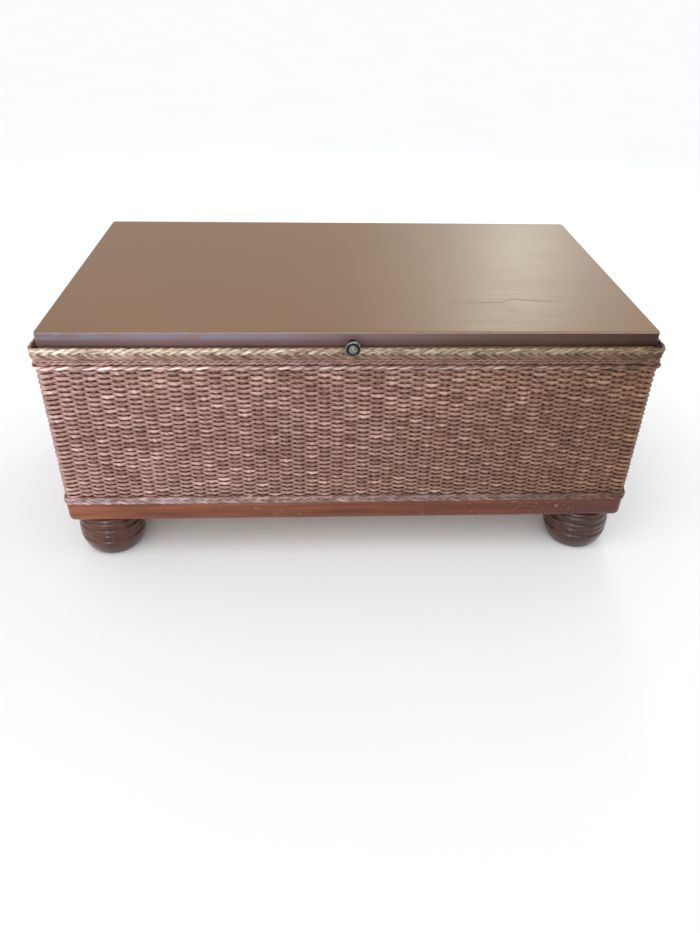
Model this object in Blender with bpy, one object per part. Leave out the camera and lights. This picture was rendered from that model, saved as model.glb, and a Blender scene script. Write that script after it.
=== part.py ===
"""Wicker storage trunk with a hinged, leatherette-covered lid.

A softwood frame (corner posts and slip-tenoned top rails) stands on a plywood
bottom panel.  The panel lies on a mitred, stained plinth with corner blocks,
and four turned bun feet are bolted up into those blocks.  Woven seagrass
panels close the four sides, trimmed by a plaited border under the lid, a
twisted cord below it and a twisted border above the plinth.  The lid is a
board wrapped in leatherette, carried by two butt hinges and held open by a
slotted stay at each end.

Units are metres, +Z is up, +X is along the trunk and the front faces -Y.  The
origin is on the floor, under the middle of the bounding box.
"""
import math

import bmesh
import bpy
from mathutils import Matrix, Vector

for old in list(bpy.data.objects):
    bpy.data.objects.remove(old, do_unlink=True)

# ---------------------------------------------------------------- dimensions
GAP = 0.0003                 # clearance between pieces that touch

LID_W = 1.050                # lid, left to right
LID_D = 0.620                # lid, front to back
LID_TOP = 0.479              # height of the closed lid
RAIL_TOP = 0.4513            # top of the case, where the lid rests
LID_BOTTOM = RAIL_TOP + GAP
LID_EDGE_R = 0.004           # arris of the covered board
LID_CORNER_R = 0.008
COVER_T = 0.0015             # leatherette with its wadding
WRAP_T = 0.0011              # leatherette turned under the board
WRAP_W = 0.030

BODY_X = 0.5313              # woven skin, half width
BODY_Y = 0.3163              # woven skin, half depth
WALL_T = 0.0105
WALL_TOP = 0.4483
BODY_CORNER_R = 0.008

FOOT_H = 0.0925
PLINTH_TOP = 0.1330
PLINTH_X = 0.5345
PLINTH_Y = 0.3190
PLINTH_T = 0.022             # thickness of the plinth boards
PLINTH_R = 0.014             # outer corner
PLINTH_EDGE_R = 0.010        # lower outer edge
BLOCK = 0.090                # corner blocks, square

PANEL_T = 0.012              # bottom panel
FRAME_X = 0.5203             # outside of the timber frame, half sizes
FRAME_Y = 0.3053
POST = 0.032
RAIL_H = 0.050
RAIL_T = 0.020
TENON_L = 0.014
TENON_T = 0.008

BRAID_PROUD = 0.0080         # plaited border under the lid
BRAID_LOW = 0.4326
BRAID_HIGH = 0.4511
CORD_R = 0.0040              # twisted cord below it
CORD_Z = 0.4180
BASE_BRAID_H = 0.0160        # twisted border above the plinth
BASE_BRAID_PROUD = 0.0060

FOOT_INSET = 0.0598          # foot axis, in from the woven faces
BOLT_R = 0.004

KNOB_Z = 0.4590
KNOB_LEN = 0.031
KNOB_SCREW_R = 0.002

HINGE_X = 0.330              # middle of each hinge
HINGE_L = 0.060
HINGE_R = 0.004              # knuckle
PIN_R = 0.002
PIN_HOLE_R = 0.0022
LEAF_T = 0.0015
KNUCKLE_HALF = 0.012         # half length of the lid leaf's knuckle

LID_OPEN = math.radians(95.0)
STAY_A = 0.140               # hinge axis to stay pivot, and to stay stud
STAY_PHI0 = math.radians(9.0)  # angle between the two with the lid closed
STAY_T = 0.0024
STAY_X = 0.4950              # middle plane of the stay arm
STAY_W = 0.016
STUD_NECK_R = 0.003
SLOT_HALF = 0.0033

BATTEN_IN = 0.450
BATTEN_OUT = 0.490
BATTEN_HALF = 0.255
BATTEN_H = 0.020

# The knob stands out in front and the border at the back, so the trunk is set
# back by half the difference: the bounding box is then centred on the origin.
FRONT_REACH = LID_D / 2 + GAP + KNOB_LEN
BACK_REACH = BODY_Y + GAP + BRAID_PROUD
YC = (FRONT_REACH - BACK_REACH) / 2

HINGE_Y = YC + LID_D / 2 + GAP + HINGE_R
HINGE_Z = RAIL_TOP - 0.0018 + HINGE_R

# stay pivot P on the lid batten and stay stud Q on the side rail
PIVOT_Z = RAIL_TOP - BATTEN_H / 2
ALPHA_P = math.asin((HINGE_Z - PIVOT_Z) / STAY_A)
ALPHA_Q = ALPHA_P + STAY_PHI0
PIVOT_Y = HINGE_Y - STAY_A * math.cos(ALPHA_P)
STUD_Y = HINGE_Y - STAY_A * math.cos(ALPHA_Q)
STUD_Z = HINGE_Z - STAY_A * math.sin(ALPHA_Q)
SLOT_NEAR = 2 * STAY_A * math.sin(STAY_PHI0 / 2)
SLOT_FAR = 2 * STAY_A * math.sin((STAY_PHI0 + LID_OPEN) / 2)


# ----------------------------------------------------------------- materials
def material(name, colour, roughness, metallic=0.0):
    mat = bpy.data.materials.new(name)
    mat.use_nodes = True
    shader = mat.node_tree.nodes["Principled BSDF"]
    shader.inputs["Base Color"].default_value = (*colour, 1.0)
    shader.inputs["Roughness"].default_value = roughness
    shader.inputs["Metallic"].default_value = metallic
    mat.diffuse_color = (*colour, 1.0)
    return mat


SEAGRASS = material("seagrass", (0.27, 0.17, 0.11), 0.75)
STRAW = material("straw_braid", (0.42, 0.28, 0.17), 0.7)
LEATHERETTE = material("leatherette", (0.25, 0.17, 0.13), 0.42)
STAINED = material("stained_wood", (0.17, 0.045, 0.02), 0.25)
PINE = material("frame_wood", (0.55, 0.40, 0.25), 0.6)
PLY = material("plywood", (0.50, 0.36, 0.22), 0.65)
LINING = material("lining_cloth", (0.05, 0.045, 0.04), 0.9)
PEWTER = material("aged_pewter", (0.22, 0.20, 0.18), 0.35, 1.0)
STEEL = material("zinc_steel", (0.55, 0.55, 0.53), 0.35, 1.0)
BRASS = material("brassed_steel", (0.55, 0.42, 0.20), 0.35, 1.0)


# ------------------------------------------------------------------- helpers
def finish(bm, name, mat, origin, smooth=None):
    """Turn world-space bmesh geometry into an object placed at origin."""
    bmesh.ops.recalc_face_normals(bm, faces=bm.faces)
    bmesh.ops.translate(bm, verts=bm.verts, vec=-Vector(origin))
    mesh = bpy.data.meshes.new(name)
    bm.to_mesh(mesh)
    bm.free()
    obj = bpy.data.objects.new(name, mesh)
    obj.location = origin
    bpy.context.scene.collection.objects.link(obj)
    mesh.materials.append(mat)
    if smooth is not None:
        mesh.shade_smooth()
        mesh.set_sharp_from_angle(angle=math.radians(smooth))
    return obj


def centre(lo, hi):
    return tuple((a + b) / 2 for a, b in zip(lo, hi))


def block(name, lo, hi, mat, bevel=0.0, pick=None, segments=2):
    """A board: a cube set to its corners, with chosen edges rounded."""
    bm = bmesh.new()
    bmesh.ops.create_cube(bm, size=1.0)
    size = [b - a for a, b in zip(lo, hi)]
    mid = centre(lo, hi)
    for v in bm.verts:
        v.co = Vector([v.co[i] * size[i] + mid[i] for i in range(3)])
    if bevel:
        edges = [e for e in bm.edges
                 if pick is None or pick(e.verts[0].co, e.verts[1].co)]
        bmesh.ops.bevel(bm, geom=edges, offset=bevel, segments=segments,
                        profile=0.5, affect="EDGES", clamp_overlap=True)
    return finish(bm, name, mat, mid, smooth=35 if bevel else None)


def prism(name, outline, z0, z1, mat, origin=None, round_edge=0.0, pick=None,
          segments=3):
    """Extrude a plan outline (anticlockwise) from z0 up to z1."""
    bm = bmesh.new()
    low = [bm.verts.new((x, y, z0)) for x, y in outline]
    base = bm.faces.new(list(reversed(low)))
    extruded = bmesh.ops.extrude_face_region(bm, geom=[base])
    top = [g for g in extruded["geom"] if isinstance(g, bmesh.types.BMVert)]
    bmesh.ops.translate(bm, verts=top, vec=(0, 0, z1 - z0))
    if round_edge:
        edges = [e for e in bm.edges if pick(e.verts[0].co, e.verts[1].co)]
        bmesh.ops.bevel(bm, geom=edges, offset=round_edge, segments=segments,
                        profile=0.5, affect="EDGES", clamp_overlap=True)
    if origin is None:
        xs = [p[0] for p in outline]
        ys = [p[1] for p in outline]
        origin = ((min(xs) + max(xs)) / 2, (min(ys) + max(ys)) / 2,
                  (z0 + z1) / 2)
    return finish(bm, name, mat, origin, smooth=35 if round_edge else None)


def turned(name, profile, at, axis, mat, segments=32, smooth=35):
    """Turn a profile of (radius, distance along axis) about an axis line.

    The profile runs along the axis; a radius of zero is a point on it.
    """
    bm = bmesh.new()
    to_axis = Vector((0, 0, 1)).rotation_difference(
        Vector(axis).normalized()).to_matrix().to_4x4()
    frame = Matrix.Translation(Vector(at)) @ to_axis
    rings = []
    for radius, along in profile:
        if radius <= 0.0:
            rings.append([bm.verts.new(frame @ Vector((0, 0, along)))])
            continue
        rings.append([
            bm.verts.new(frame @ Vector((
                radius * math.cos(2 * math.pi * k / segments),
                radius * math.sin(2 * math.pi * k / segments), along)))
            for k in range(segments)])
    for a, b in zip(rings, rings[1:]):
        for k in range(segments):
            n = (k + 1) % segments
            corners = [a[k % len(a)], a[n % len(a)],
                       b[n % len(b)], b[k % len(b)]]
            seen = []
            for v in corners:
                if v not in seen:
                    seen.append(v)
            if len(seen) > 2:
                bm.faces.new(seen)
    if len(rings[0]) > 1:
        bm.faces.new(list(reversed(rings[0])))
    if len(rings[-1]) > 1:
        bm.faces.new(rings[-1])
    return finish(bm, name, mat, at, smooth=smooth)


def arc(cx, cy, radius, a0, a1, steps):
    return [(cx + radius * math.cos(a0 + (a1 - a0) * i / steps),
             cy + radius * math.sin(a0 + (a1 - a0) * i / steps))
            for i in range(steps + 1)]


def ring_round_body(name, profile, mat, steps=3):
    """Sweep an (outward, z) profile round the woven skin's plan outline."""
    path = []
    cx, cy = BODY_X - BODY_CORNER_R, BODY_Y - BODY_CORNER_R
    for sx, sy, start in ((1, 1, 0.0), (-1, 1, 0.5), (-1, -1, 1.0),
                          (1, -1, 1.5)):
        for i in range(steps + 1):
            ang = (start + 0.5 * i / steps) * math.pi
            path.append((sx * cx, sy * cy, math.cos(ang), math.sin(ang)))
    bm = bmesh.new()
    loops = []
    for px, py, nx, ny in path:
        loops.append([bm.verts.new((px + nx * (BODY_CORNER_R + out),
                                    YC + py + ny * (BODY_CORNER_R + out), z))
                      for out, z in profile])
    for i, a in enumerate(loops):
        b = loops[(i + 1) % len(loops)]
        for k in range(len(profile)):
            n = (k + 1) % len(profile)
            bm.faces.new((a[k], a[n], b[n], b[k]))
    z_mid = sum(z for _, z in profile) / len(profile)
    return finish(bm, name, mat, (0, YC, z_mid), smooth=35)


def rounded_profile(inner, outer, low, high, radius, steps=2):
    """A closed (outward, z) outline with rounded corners."""
    points = []
    for ox, oz, start in ((outer - radius, high - radius, 0.0),
                          (inner + radius, high - radius, 0.5),
                          (inner + radius, low + radius, 1.0),
                          (outer - radius, low + radius, 1.5)):
        points += arc(ox, oz, radius, start * math.pi,
                      (start + 0.5) * math.pi, steps)
    return points


def boolean(target, tools, operation="DIFFERENCE"):
    """Cut tools from target, or join them to it, and drop the tools."""
    for tool in tools:
        mod = target.modifiers.new(operation.lower(), "BOOLEAN")
        mod.operation = operation
        mod.solver = "EXACT"
        mod.object = tool
    graph = bpy.context.evaluated_depsgraph_get()
    solid = bpy.data.meshes.new_from_object(target.evaluated_get(graph),
                                            depsgraph=graph)
    solid.name = target.name
    target.modifiers.clear()
    target.data = solid
    for tool in tools:
        bpy.data.objects.remove(tool, do_unlink=True)
    return target


def bore(at, axis, radius, length, segments=16):
    """A cylinder cutter starting at a point."""
    return turned("cutter", [(radius, 0.0), (radius, length)], at, axis, PINE,
                  segments)


def pocket(lo, hi):
    return block("cutter", lo, hi, PINE)


def screw(name, at, axis, mat, head_r=0.0031, head_d=0.0014, shank_r=0.0014,
          length=0.012):
    """Countersunk screw: at is the middle of its head, axis its point's way."""
    return turned(name, [(0, 0), (head_r, 0), (shank_r, head_d),
                         (shank_r, length - 0.003), (0, length)],
                  at, axis, mat, 10)


SIDES = (("left", -1), ("right", 1))
ENDS = (("front", -1), ("back", 1))


# ------------------------------------------------------------ feet and plinth
# Bun foot as (radius, height) from the floor up: a flat sole, a deep bowl, a
# wide roll, a narrower roll and a collar, with thin turned grooves between
foot_outline = [
    (0.0, 0.0), (0.0450, 0.0), (0.0482, 0.0015), (0.0512, 0.0050),
    (0.0548, 0.0110), (0.0582, 0.0185), (0.0607, 0.0260), (0.0620, 0.0330),
    (0.0617, 0.0375), (0.0602, 0.0400), (0.0616, 0.0425), (0.0626, 0.0475),
    (0.0622, 0.0525), (0.0613, 0.0550), (0.0620, 0.0575), (0.0618, 0.0620),
    (0.0608, 0.0645), (0.0592, 0.0662), (0.0606, 0.0680), (0.0612, 0.0730),
    (0.0602, 0.0785), (0.0584, 0.0810), (0.0592, 0.0832), (0.0588, 0.0870),
    (0.0558, 0.0905), (0.0490, FOOT_H - GAP), (0.0, FOOT_H - GAP)]

FOOT_X = BODY_X - FOOT_INSET
FOOT_Y = BODY_Y - FOOT_INSET
for end, sy in ENDS:
    for side, sx in SIDES:
        tag = end + "_" + side
        fx, fy = sx * FOOT_X, YC + sy * FOOT_Y
        foot = turned("foot_" + tag, foot_outline, (fx, fy, 0), (0, 0, 1),
                      STAINED, 24, smooth=30)
        boolean(foot, [bore((fx, fy, 0.047), (0, 0, 1), BOLT_R + 2 * GAP, 0.1,
                            12)])
        turned("foot_bolt_" + tag,
               [(0, 0), (BOLT_R - 0.001, 0), (BOLT_R, 0.0015),
                (BOLT_R, 0.0820), (BOLT_R - 0.001, 0.0830), (0, 0.0830)],
               (fx, fy, 0.0475), (0, 0, 1), STEEL, 12)
        x_out = sx * (PLINTH_X - PLINTH_T - GAP)
        x_in = sx * (PLINTH_X - PLINTH_T - GAP - BLOCK)
        y_out = sy * (PLINTH_Y - PLINTH_T - GAP)
        y_in = sy * (PLINTH_Y - PLINTH_T - GAP - BLOCK)
        cut = 0.030
        outline = [(x_out, y_out), (x_in, y_out), (x_in, y_in + sy * cut),
                   (x_in + sx * cut, y_in), (x_out, y_in)]
        if sx * sy < 0:
            outline.reverse()
        corner = prism("corner_block_" + tag,
                       [(x, YC + y) for x, y in outline],
                       FOOT_H + GAP, PLINTH_TOP - GAP, PINE)
        boolean(corner, [bore((fx, fy, FOOT_H - 0.01), (0, 0, 1),
                              BOLT_R + 2 * GAP, 0.06, 12)])

MITRE = 0.0002
for end, sy in ENDS:
    half_arc = arc(PLINTH_X - PLINTH_R, PLINTH_Y - PLINTH_R, PLINTH_R,
                   math.pi / 4, math.pi / 2, 3)
    right = [(x - MITRE, y) for x, y in half_arc]
    inner = (PLINTH_X - PLINTH_T - MITRE, PLINTH_Y - PLINTH_T)
    outline = right + [(-x, y) for x, y in reversed(right)]
    outline += [(-inner[0], inner[1]), inner]
    outline = [(x, YC + sy * y) for x, y in outline]
    if sy < 0:
        outline.reverse()
    outer_y = PLINTH_Y - PLINTH_R * 0.3 - 1e-5
    prism("plinth_" + end, outline, FOOT_H, PLINTH_TOP, STAINED,
          round_edge=PLINTH_EDGE_R, segments=4,
          pick=lambda a, b, s=sy, oy=outer_y: abs(a.z - b.z) < 1e-6
          and a.z < FOOT_H + 1e-5
          and s * (a.y - YC) > oy and s * (b.y - YC) > oy)
for side, sx in SIDES:
    half_arc = arc(PLINTH_X - PLINTH_R, PLINTH_Y - PLINTH_R, PLINTH_R,
                   0, math.pi / 4, 3)
    upper = [(x, y - MITRE) for x, y in half_arc]
    inner = (PLINTH_X - PLINTH_T, PLINTH_Y - PLINTH_T - MITRE)
    outline = [(x, -y) for x, y in reversed(upper)] + upper
    outline += [inner, (inner[0], -inner[1])]
    outline = [(sx * x, YC + y) for x, y in outline]
    if sx < 0:
        outline.reverse()
    outer_x = PLINTH_X - PLINTH_R * 0.3 - 1e-5
    prism("plinth_" + side, outline, FOOT_H, PLINTH_TOP, STAINED,
          round_edge=PLINTH_EDGE_R, segments=4,
          pick=lambda a, b, s=sx, ox=outer_x: abs(a.z - b.z) < 1e-6
          and a.z < FOOT_H + 1e-5
          and s * a.x > ox and s * b.x > ox)

PANEL_LOW = PLINTH_TOP + GAP
PANEL_TOP = PANEL_LOW + PANEL_T
block("bottom_panel", (-FRAME_X, YC - FRAME_Y, PANEL_LOW),
      (FRAME_X, YC + FRAME_Y, PANEL_TOP), PLY)

# --------------------------------------------------------------- timber frame
RAIL_LOW = RAIL_TOP - RAIL_H
TENON_IN = (RAIL_T - TENON_T) / 2
POST_IN_X = FRAME_X - POST
POST_IN_Y = FRAME_Y - POST
for end, sy in ENDS:
    for side, sx in SIDES:
        xs = sorted((sx * FRAME_X, sx * POST_IN_X))
        ys = sorted((YC + sy * FRAME_Y, YC + sy * POST_IN_Y))
        post = block("corner_post_" + end + "_" + side,
                     (xs[0], ys[0], PANEL_TOP + GAP), (xs[1], ys[1], RAIL_TOP),
                     PINE)
        # open mortises for the two rails' slip tenons
        mx = sorted((sx * (POST_IN_X - 0.005),
                     sx * (POST_IN_X + TENON_L + GAP)))
        my = sorted((YC + sy * (FRAME_Y - TENON_IN + GAP),
                     YC + sy * (FRAME_Y - TENON_IN - TENON_T - GAP)))
        nx = sorted((sx * (FRAME_X - TENON_IN + GAP),
                     sx * (FRAME_X - TENON_IN - TENON_T - GAP)))
        ny = sorted((YC + sy * (POST_IN_Y - 0.005),
                     YC + sy * (POST_IN_Y + TENON_L + GAP)))
        boolean(post, [
            pocket((mx[0], my[0], RAIL_LOW - GAP), (mx[1], my[1], 0.5)),
            pocket((nx[0], ny[0], RAIL_LOW - GAP), (nx[1], ny[1], 0.5))])


def rail_outline(shoulder, out):
    """Plan of a rail along its own length: out is its outer face."""
    tip = shoulder + TENON_L
    t0 = out - TENON_IN
    t1 = t0 - TENON_T
    return [(-shoulder, out), (-shoulder, t0), (-tip, t0), (-tip, t1),
            (-shoulder, t1), (-shoulder, out - RAIL_T),
            (shoulder, out - RAIL_T), (shoulder, t1), (tip, t1), (tip, t0),
            (shoulder, t0), (shoulder, out)]


for end, sy in ENDS:
    outline = [(x, YC + sy * y)
               for x, y in rail_outline(POST_IN_X - GAP, FRAME_Y)]
    if sy < 0:
        outline.reverse()
    rail = prism("top_rail_" + end, outline, RAIL_LOW, RAIL_TOP, PINE)
    if end == "back":
        tools = []
        for side, sx in SIDES:
            hx = sx * HINGE_X
            tools.append(pocket(
                (hx - HINGE_L / 2 - GAP, YC + 0.2880 - GAP,
                 HINGE_Z - HINGE_R - GAP),
                (hx + HINGE_L / 2 + GAP, YC + FRAME_Y + 0.01, 0.5)))
            for k in (-1, 1):
                tools.append(bore((hx + k * 0.021, YC + 0.2965, RAIL_TOP),
                                  (0, 0, -1), 0.0017, 0.0150, 12))
        boolean(rail, tools)
for side, sx in SIDES:
    outline = [(sx * y, YC + x)
               for x, y in rail_outline(POST_IN_Y - GAP, FRAME_X)]
    if sx > 0:
        outline.reverse()
    rail = prism("top_rail_" + side, outline, RAIL_LOW, RAIL_TOP, PINE)
    boolean(rail, [bore((sx * (FRAME_X - RAIL_T - 0.001), STUD_Y, STUD_Z),
                        (sx, 0, 0), 0.0022, 0.0140, 16)])

# --------------------------------------------------------- woven skin and trim
WALL_LOW = PLINTH_TOP + GAP
for end, sy in ENDS:
    ys = sorted((YC + sy * BODY_Y, YC + sy * (BODY_Y - WALL_T)))
    block("woven_panel_" + end, (-BODY_X, ys[0], WALL_LOW),
          (BODY_X, ys[1], WALL_TOP), SEAGRASS, bevel=BODY_CORNER_R, segments=4,
          pick=lambda a, b, s=sy: abs(a.z - b.z) > 0.1
          and s * (a.y - YC) > BODY_Y - 0.001)
for side, sx in SIDES:
    xs = sorted((sx * BODY_X, sx * (BODY_X - WALL_T)))
    half = BODY_Y - WALL_T - GAP
    block("woven_panel_" + side, (xs[0], YC - half, WALL_LOW),
          (xs[1], YC + half, WALL_TOP), SEAGRASS)

ring_round_body("top_braid",
                rounded_profile(GAP, GAP + BRAID_PROUD, BRAID_LOW, BRAID_HIGH,
                                0.0040), STRAW)
ring_round_body("upper_cord",
                [(GAP + CORD_R + CORD_R * math.cos(2 * math.pi * k / 8),
                  CORD_Z + CORD_R * math.sin(2 * math.pi * k / 8))
                 for k in range(8)], STRAW)
ring_round_body("base_braid",
                rounded_profile(GAP, GAP + BASE_BRAID_PROUD, WALL_LOW,
                                WALL_LOW + BASE_BRAID_H, 0.0028), STRAW)

# ------------------------------------------------------------------------ lid
lid_pivot = bpy.data.objects.new("lid_pivot", None)
lid_pivot.location = (0, HINGE_Y, HINGE_Z)
bpy.context.scene.collection.objects.link(lid_pivot)
bpy.context.view_layer.update()


def ride_on(parent, *objects):
    bpy.context.view_layer.update()
    for obj in objects:
        obj.parent = parent
        obj.matrix_parent_inverse = parent.matrix_world.inverted()


HX, HY = LID_W / 2, LID_D / 2


def lid_screw_holes(radius, length, start):
    return [bore((sx * HINGE_X + k * 0.020, YC + start, HINGE_Z + 0.0110),
                 (0, -1, 0), radius, length, 12)
            for _, sx in SIDES for k in (-1, 1)]


def rounded_slab(name, hx, hy, low, high, mat, corner, edge):
    """A board rounded at its upright corners, then round its top arris."""
    outline = []
    for ox, oy, start in ((hx - corner, hy - corner, 0.0),
                          (-hx + corner, hy - corner, 0.5),
                          (-hx + corner, -hy + corner, 1.0),
                          (hx - corner, -hy + corner, 1.5)):
        outline += arc(ox, YC + oy, corner, start * math.pi,
                       (start + 0.5) * math.pi, 4)
    return prism(name, outline, low, high, mat, origin=(0, YC, (low + high) / 2),
                 round_edge=edge, segments=3,
                 pick=lambda a, b: a.z > high - 1e-6 and b.z > high - 1e-6)


cover = rounded_slab("lid_cover", HX, HY, LID_BOTTOM, LID_TOP, LEATHERETTE,
                     LID_CORNER_R, LID_EDGE_R)
inside_x, inside_y = HX - COVER_T, HY - COVER_T
board_low = LID_BOTTOM + WRAP_T
hollow = rounded_slab("cutter", inside_x, inside_y, board_low,
                      LID_TOP - COVER_T, PINE, LID_CORNER_R - COVER_T,
                      LID_EDGE_R - COVER_T)
mouth = pocket((-HX + WRAP_W, YC - HY + WRAP_W, LID_BOTTOM - 0.01),
               (HX - WRAP_W, YC + HY - WRAP_W, board_low + 0.001))
knob_hole = bore((0, YC - HY - 0.001, KNOB_Z), (0, 1, 0), KNOB_SCREW_R + GAP,
                 0.004, 16)
boolean(cover, [hollow])
boolean(cover, [mouth, knob_hole] + lid_screw_holes(0.0017, 0.004, HY + 0.001))

board = rounded_slab("lid_board", inside_x - GAP, inside_y - GAP,
                     board_low + GAP, LID_TOP - COVER_T - GAP, PLY,
                     LID_CORNER_R - COVER_T, LID_EDGE_R - COVER_T)
boolean(board, [bore((0, YC - HY - 0.001, KNOB_Z), (0, 1, 0),
                     KNOB_SCREW_R + GAP, 0.024, 16)]
        + lid_screw_holes(0.0017, 0.0150, HY))

lining = block("lid_lining", (-BATTEN_IN + 0.001, YC - 0.283, RAIL_TOP - 0.0009),
               (BATTEN_IN - 0.001, YC + 0.283, RAIL_TOP), LINING)

lid_parts = [cover, board, lining]
for side, sx in SIDES:
    xs = sorted((sx * BATTEN_IN, sx * BATTEN_OUT))
    batten = block("lid_batten_" + side,
                   (xs[0], YC - BATTEN_HALF, RAIL_TOP - BATTEN_H),
                   (xs[1], YC + BATTEN_HALF, RAIL_TOP), PINE, bevel=0.003,
                   pick=lambda a, b: a.z < RAIL_TOP - BATTEN_H + 1e-5
                   and b.z < RAIL_TOP - BATTEN_H + 1e-5)
    boolean(batten, [bore((sx * (BATTEN_OUT + 0.001), PIVOT_Y, PIVOT_Z),
                          (-sx, 0, 0), 0.0022, 0.0150, 16)])
    lid_parts.append(batten)

# knob and its dowel screw in the lid's front edge
knob_outline = [
    (0.0, 0.0), (0.0068, 0.0), (0.0068, 0.0016), (0.0058, 0.0040),
    (0.0052, 0.0085), (0.0056, 0.0140), (0.0084, 0.0180), (0.0120, 0.0205),
    (0.0132, 0.0225), (0.0130, 0.0245), (0.0116, 0.0258), (0.0104, 0.0252),
    (0.0094, 0.0258), (0.0080, 0.0280), (0.0052, 0.0300), (0.0024, 0.0308),
    (0.0, KNOB_LEN)]
knob = turned("knob", knob_outline, (0, YC - HY - GAP, KNOB_Z), (0, -1, 0),
              PEWTER, 24)
boolean(knob, [bore((0, YC - HY + 0.001, KNOB_Z), (0, -1, 0),
                    KNOB_SCREW_R + GAP, 0.0150, 16)])
knob_screw = turned("knob_screw",
                    [(0, 0), (KNOB_SCREW_R, 0), (KNOB_SCREW_R, 0.0300),
                     (0, 0.0335)],
                    (0, YC - HY - 0.0135, KNOB_Z), (0, 1, 0), STEEL, 16)
lid_parts += [knob, knob_screw]


# --------------------------------------------------------------------- hinges
def knuckle(x0, x1):
    return turned("cutter", [(HINGE_R, 0.0), (HINGE_R, x1 - x0)],
                  (x0, HINGE_Y, HINGE_Z), (1, 0, 0), BRASS, 16)


for side, sx in SIDES:
    hx = sx * HINGE_X
    half = HINGE_L / 2
    leaf_z = HINGE_Z - HINGE_R
    # case leaf: let into the rear rail's top, with the two outer knuckles
    leaf = block("hinge_case_leaf_" + side, (hx - half, YC + 0.2880, leaf_z),
                 (hx + half, HINGE_Y, leaf_z + LEAF_T), BRASS)
    boolean(leaf, [knuckle(hx - half, hx - KNUCKLE_HALF - GAP),
                   knuckle(hx + KNUCKLE_HALF + GAP, hx + half)], "UNION")
    tools = [pocket((hx - KNUCKLE_HALF - GAP, HINGE_Y - HINGE_R - GAP, 0.4),
                    (hx + KNUCKLE_HALF + GAP, HINGE_Y + 0.01, 0.5)),
             turned("cutter", [(PIN_HOLE_R, 0), (PIN_HOLE_R, HINGE_L + 0.01)],
                    (hx - half - 0.005, HINGE_Y, HINGE_Z), (1, 0, 0), BRASS,
                    16)]
    for k in (-1, 1):
        tools.append(turned(
            "cutter", [(0.0034 + GAP, -0.0001), (0.0034 + GAP, 0.00001),
                       (0.0017, 0.0017), (0.0017, 0.004)],
            (hx + k * 0.021, YC + 0.2965, leaf_z + LEAF_T), (0, 0, -1), BRASS,
            12))
    boolean(leaf, tools)
    for k, tag in ((-1, "_1"), (1, "_2")):
        screw("hinge_case_screw_" + side + tag,
              (hx + k * 0.021, YC + 0.2965, leaf_z + LEAF_T - GAP), (0, 0, -1),
              BRASS)
    # lid leaf: on the lid's rear edge, with the middle knuckle
    leaf_y = HINGE_Y - HINGE_R
    leaf = block("hinge_lid_leaf_" + side, (hx - half, leaf_y, HINGE_Z),
                 (hx + half, leaf_y + LEAF_T, HINGE_Z + 0.0190), BRASS)
    boolean(leaf, [knuckle(hx - KNUCKLE_HALF, hx + KNUCKLE_HALF)], "UNION")
    tools = [turned("cutter", [(PIN_HOLE_R, 0), (PIN_HOLE_R, HINGE_L + 0.01)],
                    (hx - half - 0.005, HINGE_Y, HINGE_Z), (1, 0, 0), BRASS,
                    16)]
    for k in (-1, 1):
        a, b = sorted((hx + k * KNUCKLE_HALF, hx + k * (half + 0.01)))
        tools.append(pocket((a, leaf_y - 0.001, HINGE_Z - 0.001),
                            (b, leaf_y + 0.01, HINGE_Z + HINGE_R + GAP)))
        tools.append(turned(
            "cutter", [(0.0034 + GAP, -0.0001), (0.0034 + GAP, 0.00001),
                       (0.0017, 0.0017), (0.0017, 0.004)],
            (hx + k * 0.020, leaf_y + LEAF_T, HINGE_Z + 0.0110), (0, -1, 0),
            BRASS, 12))
    boolean(leaf, tools)
    lid_parts.append(leaf)
    for k, tag in ((-1, "_1"), (1, "_2")):
        lid_parts.append(screw(
            "hinge_lid_screw_" + side + tag,
            (hx + k * 0.020, leaf_y + LEAF_T - GAP, HINGE_Z + 0.0110),
            (0, -1, 0), BRASS))
    turned("hinge_pin_" + side,
           [(0, 0), (0.0028, 0), (0.0028, 0.0012), (PIN_R, 0.0012),
            (PIN_R, HINGE_L + 0.0025), (0.0012, HINGE_L + 0.0033),
            (0, HINGE_L + 0.0033)],
           (hx - half - 0.0015, HINGE_Y, HINGE_Z), (1, 0, 0), BRASS, 16)

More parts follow.
